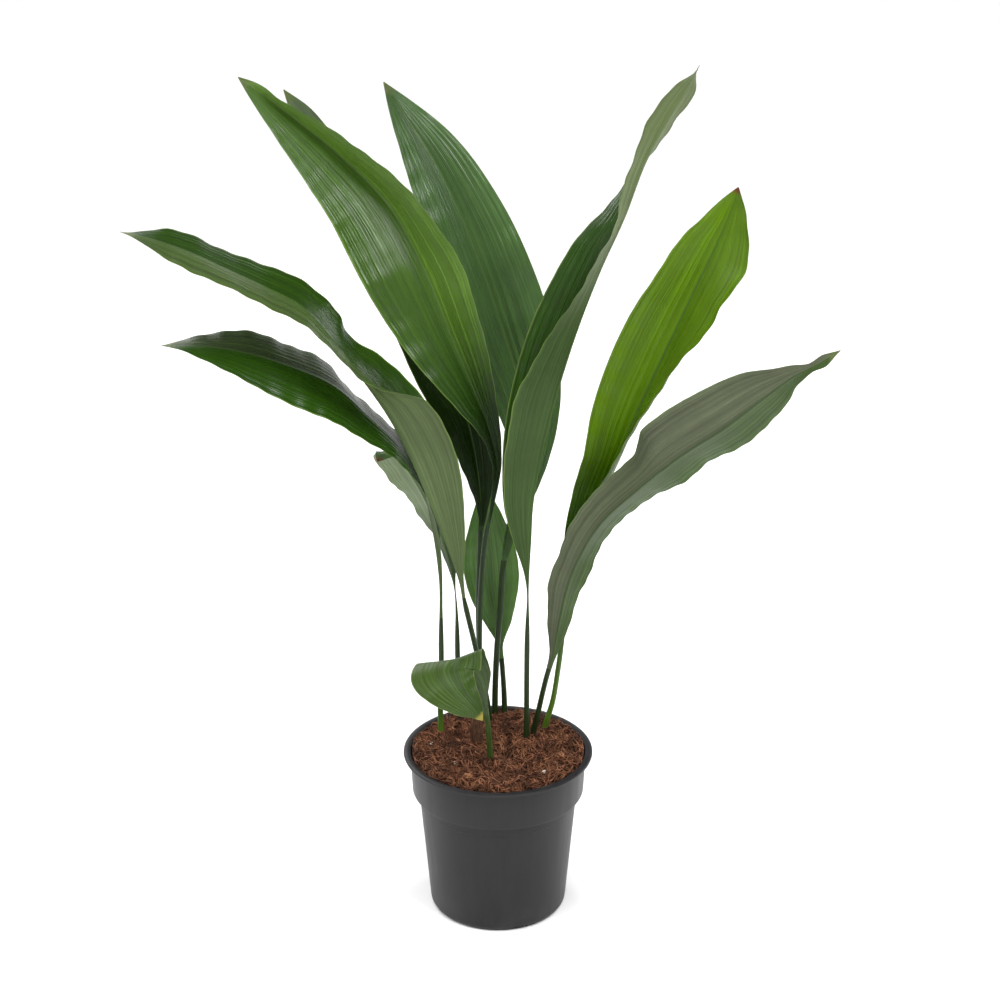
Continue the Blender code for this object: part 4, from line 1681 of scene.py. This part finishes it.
def dress_rootstock(frame: dict) -> None:
    """Give the CAD rootstock, which the mix hides, its finish.
    """
    finish = RoughStuff("rootstock_bark", (0.16, 0.10, 0.05), (0.42, 0.31, 0.18), 180.0)
    node = frame["nodes"]["rootstock"]
    node.data.materials.clear()
    node.data.materials.append(finish.material())


# ---------------------------------------------------------------------------- studio
@dataclass(frozen=True)
class SoftLamp:
    """A soft square lamp that the camera doesn't see."""

    name: str
    place: Point
    aim: Point
    size: float
    watts: float

    def hang(self) -> None:
        """Hang the lamp and point it at its aim."""
        data = bpy.data.lights.new(self.name, "AREA")
        data.size = self.size
        data.energy = self.watts
        lamp = bpy.data.objects.new(self.name, data)
        lamp.location = self.place
        lamp.rotation_euler = (Vector(self.aim) - Vector(self.place)).to_track_quat("-Z", "Y").to_euler()
        lamp.visible_camera = False
        bpy.context.scene.collection.objects.link(lamp)


@dataclass
class Studio:
    """A white floor, a pale wall around a dark ceiling, soft lamps and the camera."""

    eye: Point = (0.0018, -1.594, 1.021)
    pitch: float = 21.5
    lens: float = 72.0
    sensor: float = 36.0
    wall: float = 1.0
    wall_top: tuple[float, float] = (0.21, 0.34)
    wall_sides: tuple[float, float] = (-0.75, -0.20)
    horizon: tuple[float, float] = (0.0, 0.05)
    ceiling: float = 0.08
    floor_size: float = 40.0
    floor_drop: float = 0.0002
    floor_tones: tuple[float, float] = (0.94, 0.96)
    sky: float = 3.1
    sky_spread: float = 70.0
    sky_lean: tuple[float, float] = (12.0, -10.0)
    lamps: tuple[SoftLamp, ...] = (
        SoftLamp("key_right", (1.35, -1.15, 2.15), (0, 0, 0.55), 0.9, 34.0),
        SoftLamp("fill_left", (-1.5, -1.2, 1.5), (0, 0, 0.4), 1.2, 11.0),
        SoftLamp("back_right", (1.5, 1.3, 0.95), (0, 0, 0.5), 0.7, 16.0),
        SoftLamp("back_left", (-0.95, 1.6, 1.45), (0, 0, 0.35), 0.9, 14.0))

    def floor(self) -> None:
        """Lay a wide white floor."""
        start_piece()
        bpy.ops.mesh.primitive_plane_add(size=self.floor_size, location=(0, 0, -self.floor_drop))
        floor = name_piece("studio_floor")
        material, nodes, output = new_material("white_floor", (0.9, 0.9, 0.9))
        dark, light = ((tone, tone, tone) for tone in self.floor_tones)
        tone = nodes.noise(nodes.place(), 0.8, 2.0)
        nodes.put(output, nodes.surface(nodes.mix(tone, dark, light), 0.9, 0.1))
        floor.data.materials.append(material)

    def world(self) -> None:
        """Set the surround: pale below the horizon and a little over it behind, dark above."""
        world = bpy.data.worlds.new("studio_surround")
        world.use_nodes = True
        nodes = Nodes(world.node_tree)
        _, back, up = nodes.split(nodes.add("ShaderNodeTexCoord").outputs["Generated"])
        low = nodes.ramp(up, *self.wall_top, 1.0, 0.0)
        behind = nodes.ramp(back, *self.wall_sides)
        under = nodes.ramp(up, *self.horizon, 1.0, 0.0)
        lit = nodes.math("MAXIMUM", nodes.math("MULTIPLY", low, behind), under)
        background = world.node_tree.nodes["Background"]
        background.inputs[0].default_value = (1.0, 1.0, 1.0, 1.0)
        brightness = nodes.math("MULTIPLY_ADD", lit, self.wall - self.ceiling, self.ceiling)
        nodes.put(background.inputs[1], brightness)
        bpy.context.scene.world = world

    def overhead(self) -> None:
        """Add the even light from above that whitens the floor."""
        data = bpy.data.lights.new("overhead_sky", "SUN")
        data.energy = self.sky
        data.angle = math.radians(self.sky_spread)
        lamp = bpy.data.objects.new("overhead_sky", data)
        lamp.rotation_euler = (*np.radians(self.sky_lean), 0)
        bpy.context.scene.collection.objects.link(lamp)

    def camera(self) -> None:
        """Place the camera."""
        data = bpy.data.cameras.new("camera")
        data.lens = self.lens
        data.sensor_width = self.sensor
        camera = bpy.data.objects.new("camera", data)
        camera.location = self.eye
        camera.rotation_euler = (math.radians(90 - self.pitch), 0, 0)
        bpy.context.scene.collection.objects.link(camera)
        bpy.context.scene.camera = camera

    def build(self) -> None:
        """Set the studio up."""
        self.camera()
        self.floor()
        self.world()
        self.overhead()
        for lamp in self.lamps:
            lamp.hang()
        bpy.context.scene.view_settings.view_transform = "Standard"
        bpy.context.scene.view_settings.look = "None"


def main() -> None:
    """Build the plant from the pot up and report each piece."""
    logging.basicConfig(level=logging.INFO, format="%(message)s")
    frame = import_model()
    Studio().build()
    LOG.info("pot: %s", NurseryPot().build().name)
    for piece in PottingMix().build():
        LOG.info("mix: %s, %d faces", piece.name, len(piece.data.polygons))
    for piece in build_loose_bits():
        LOG.info("bit: %s", piece.name)
    LOG.info("stub: %s", DryStub().build().name)
    dress_rootstock(frame)
    pattern = BladePattern()
    for leaf in (*left_leaves(), *middle_leaves(), *right_leaves()):
        piece = leaf.build(pattern)
        LOG.info("leaf: %s, %d faces", piece.name, len(piece.data.polygons))


if __name__ == "__main__":
    main()
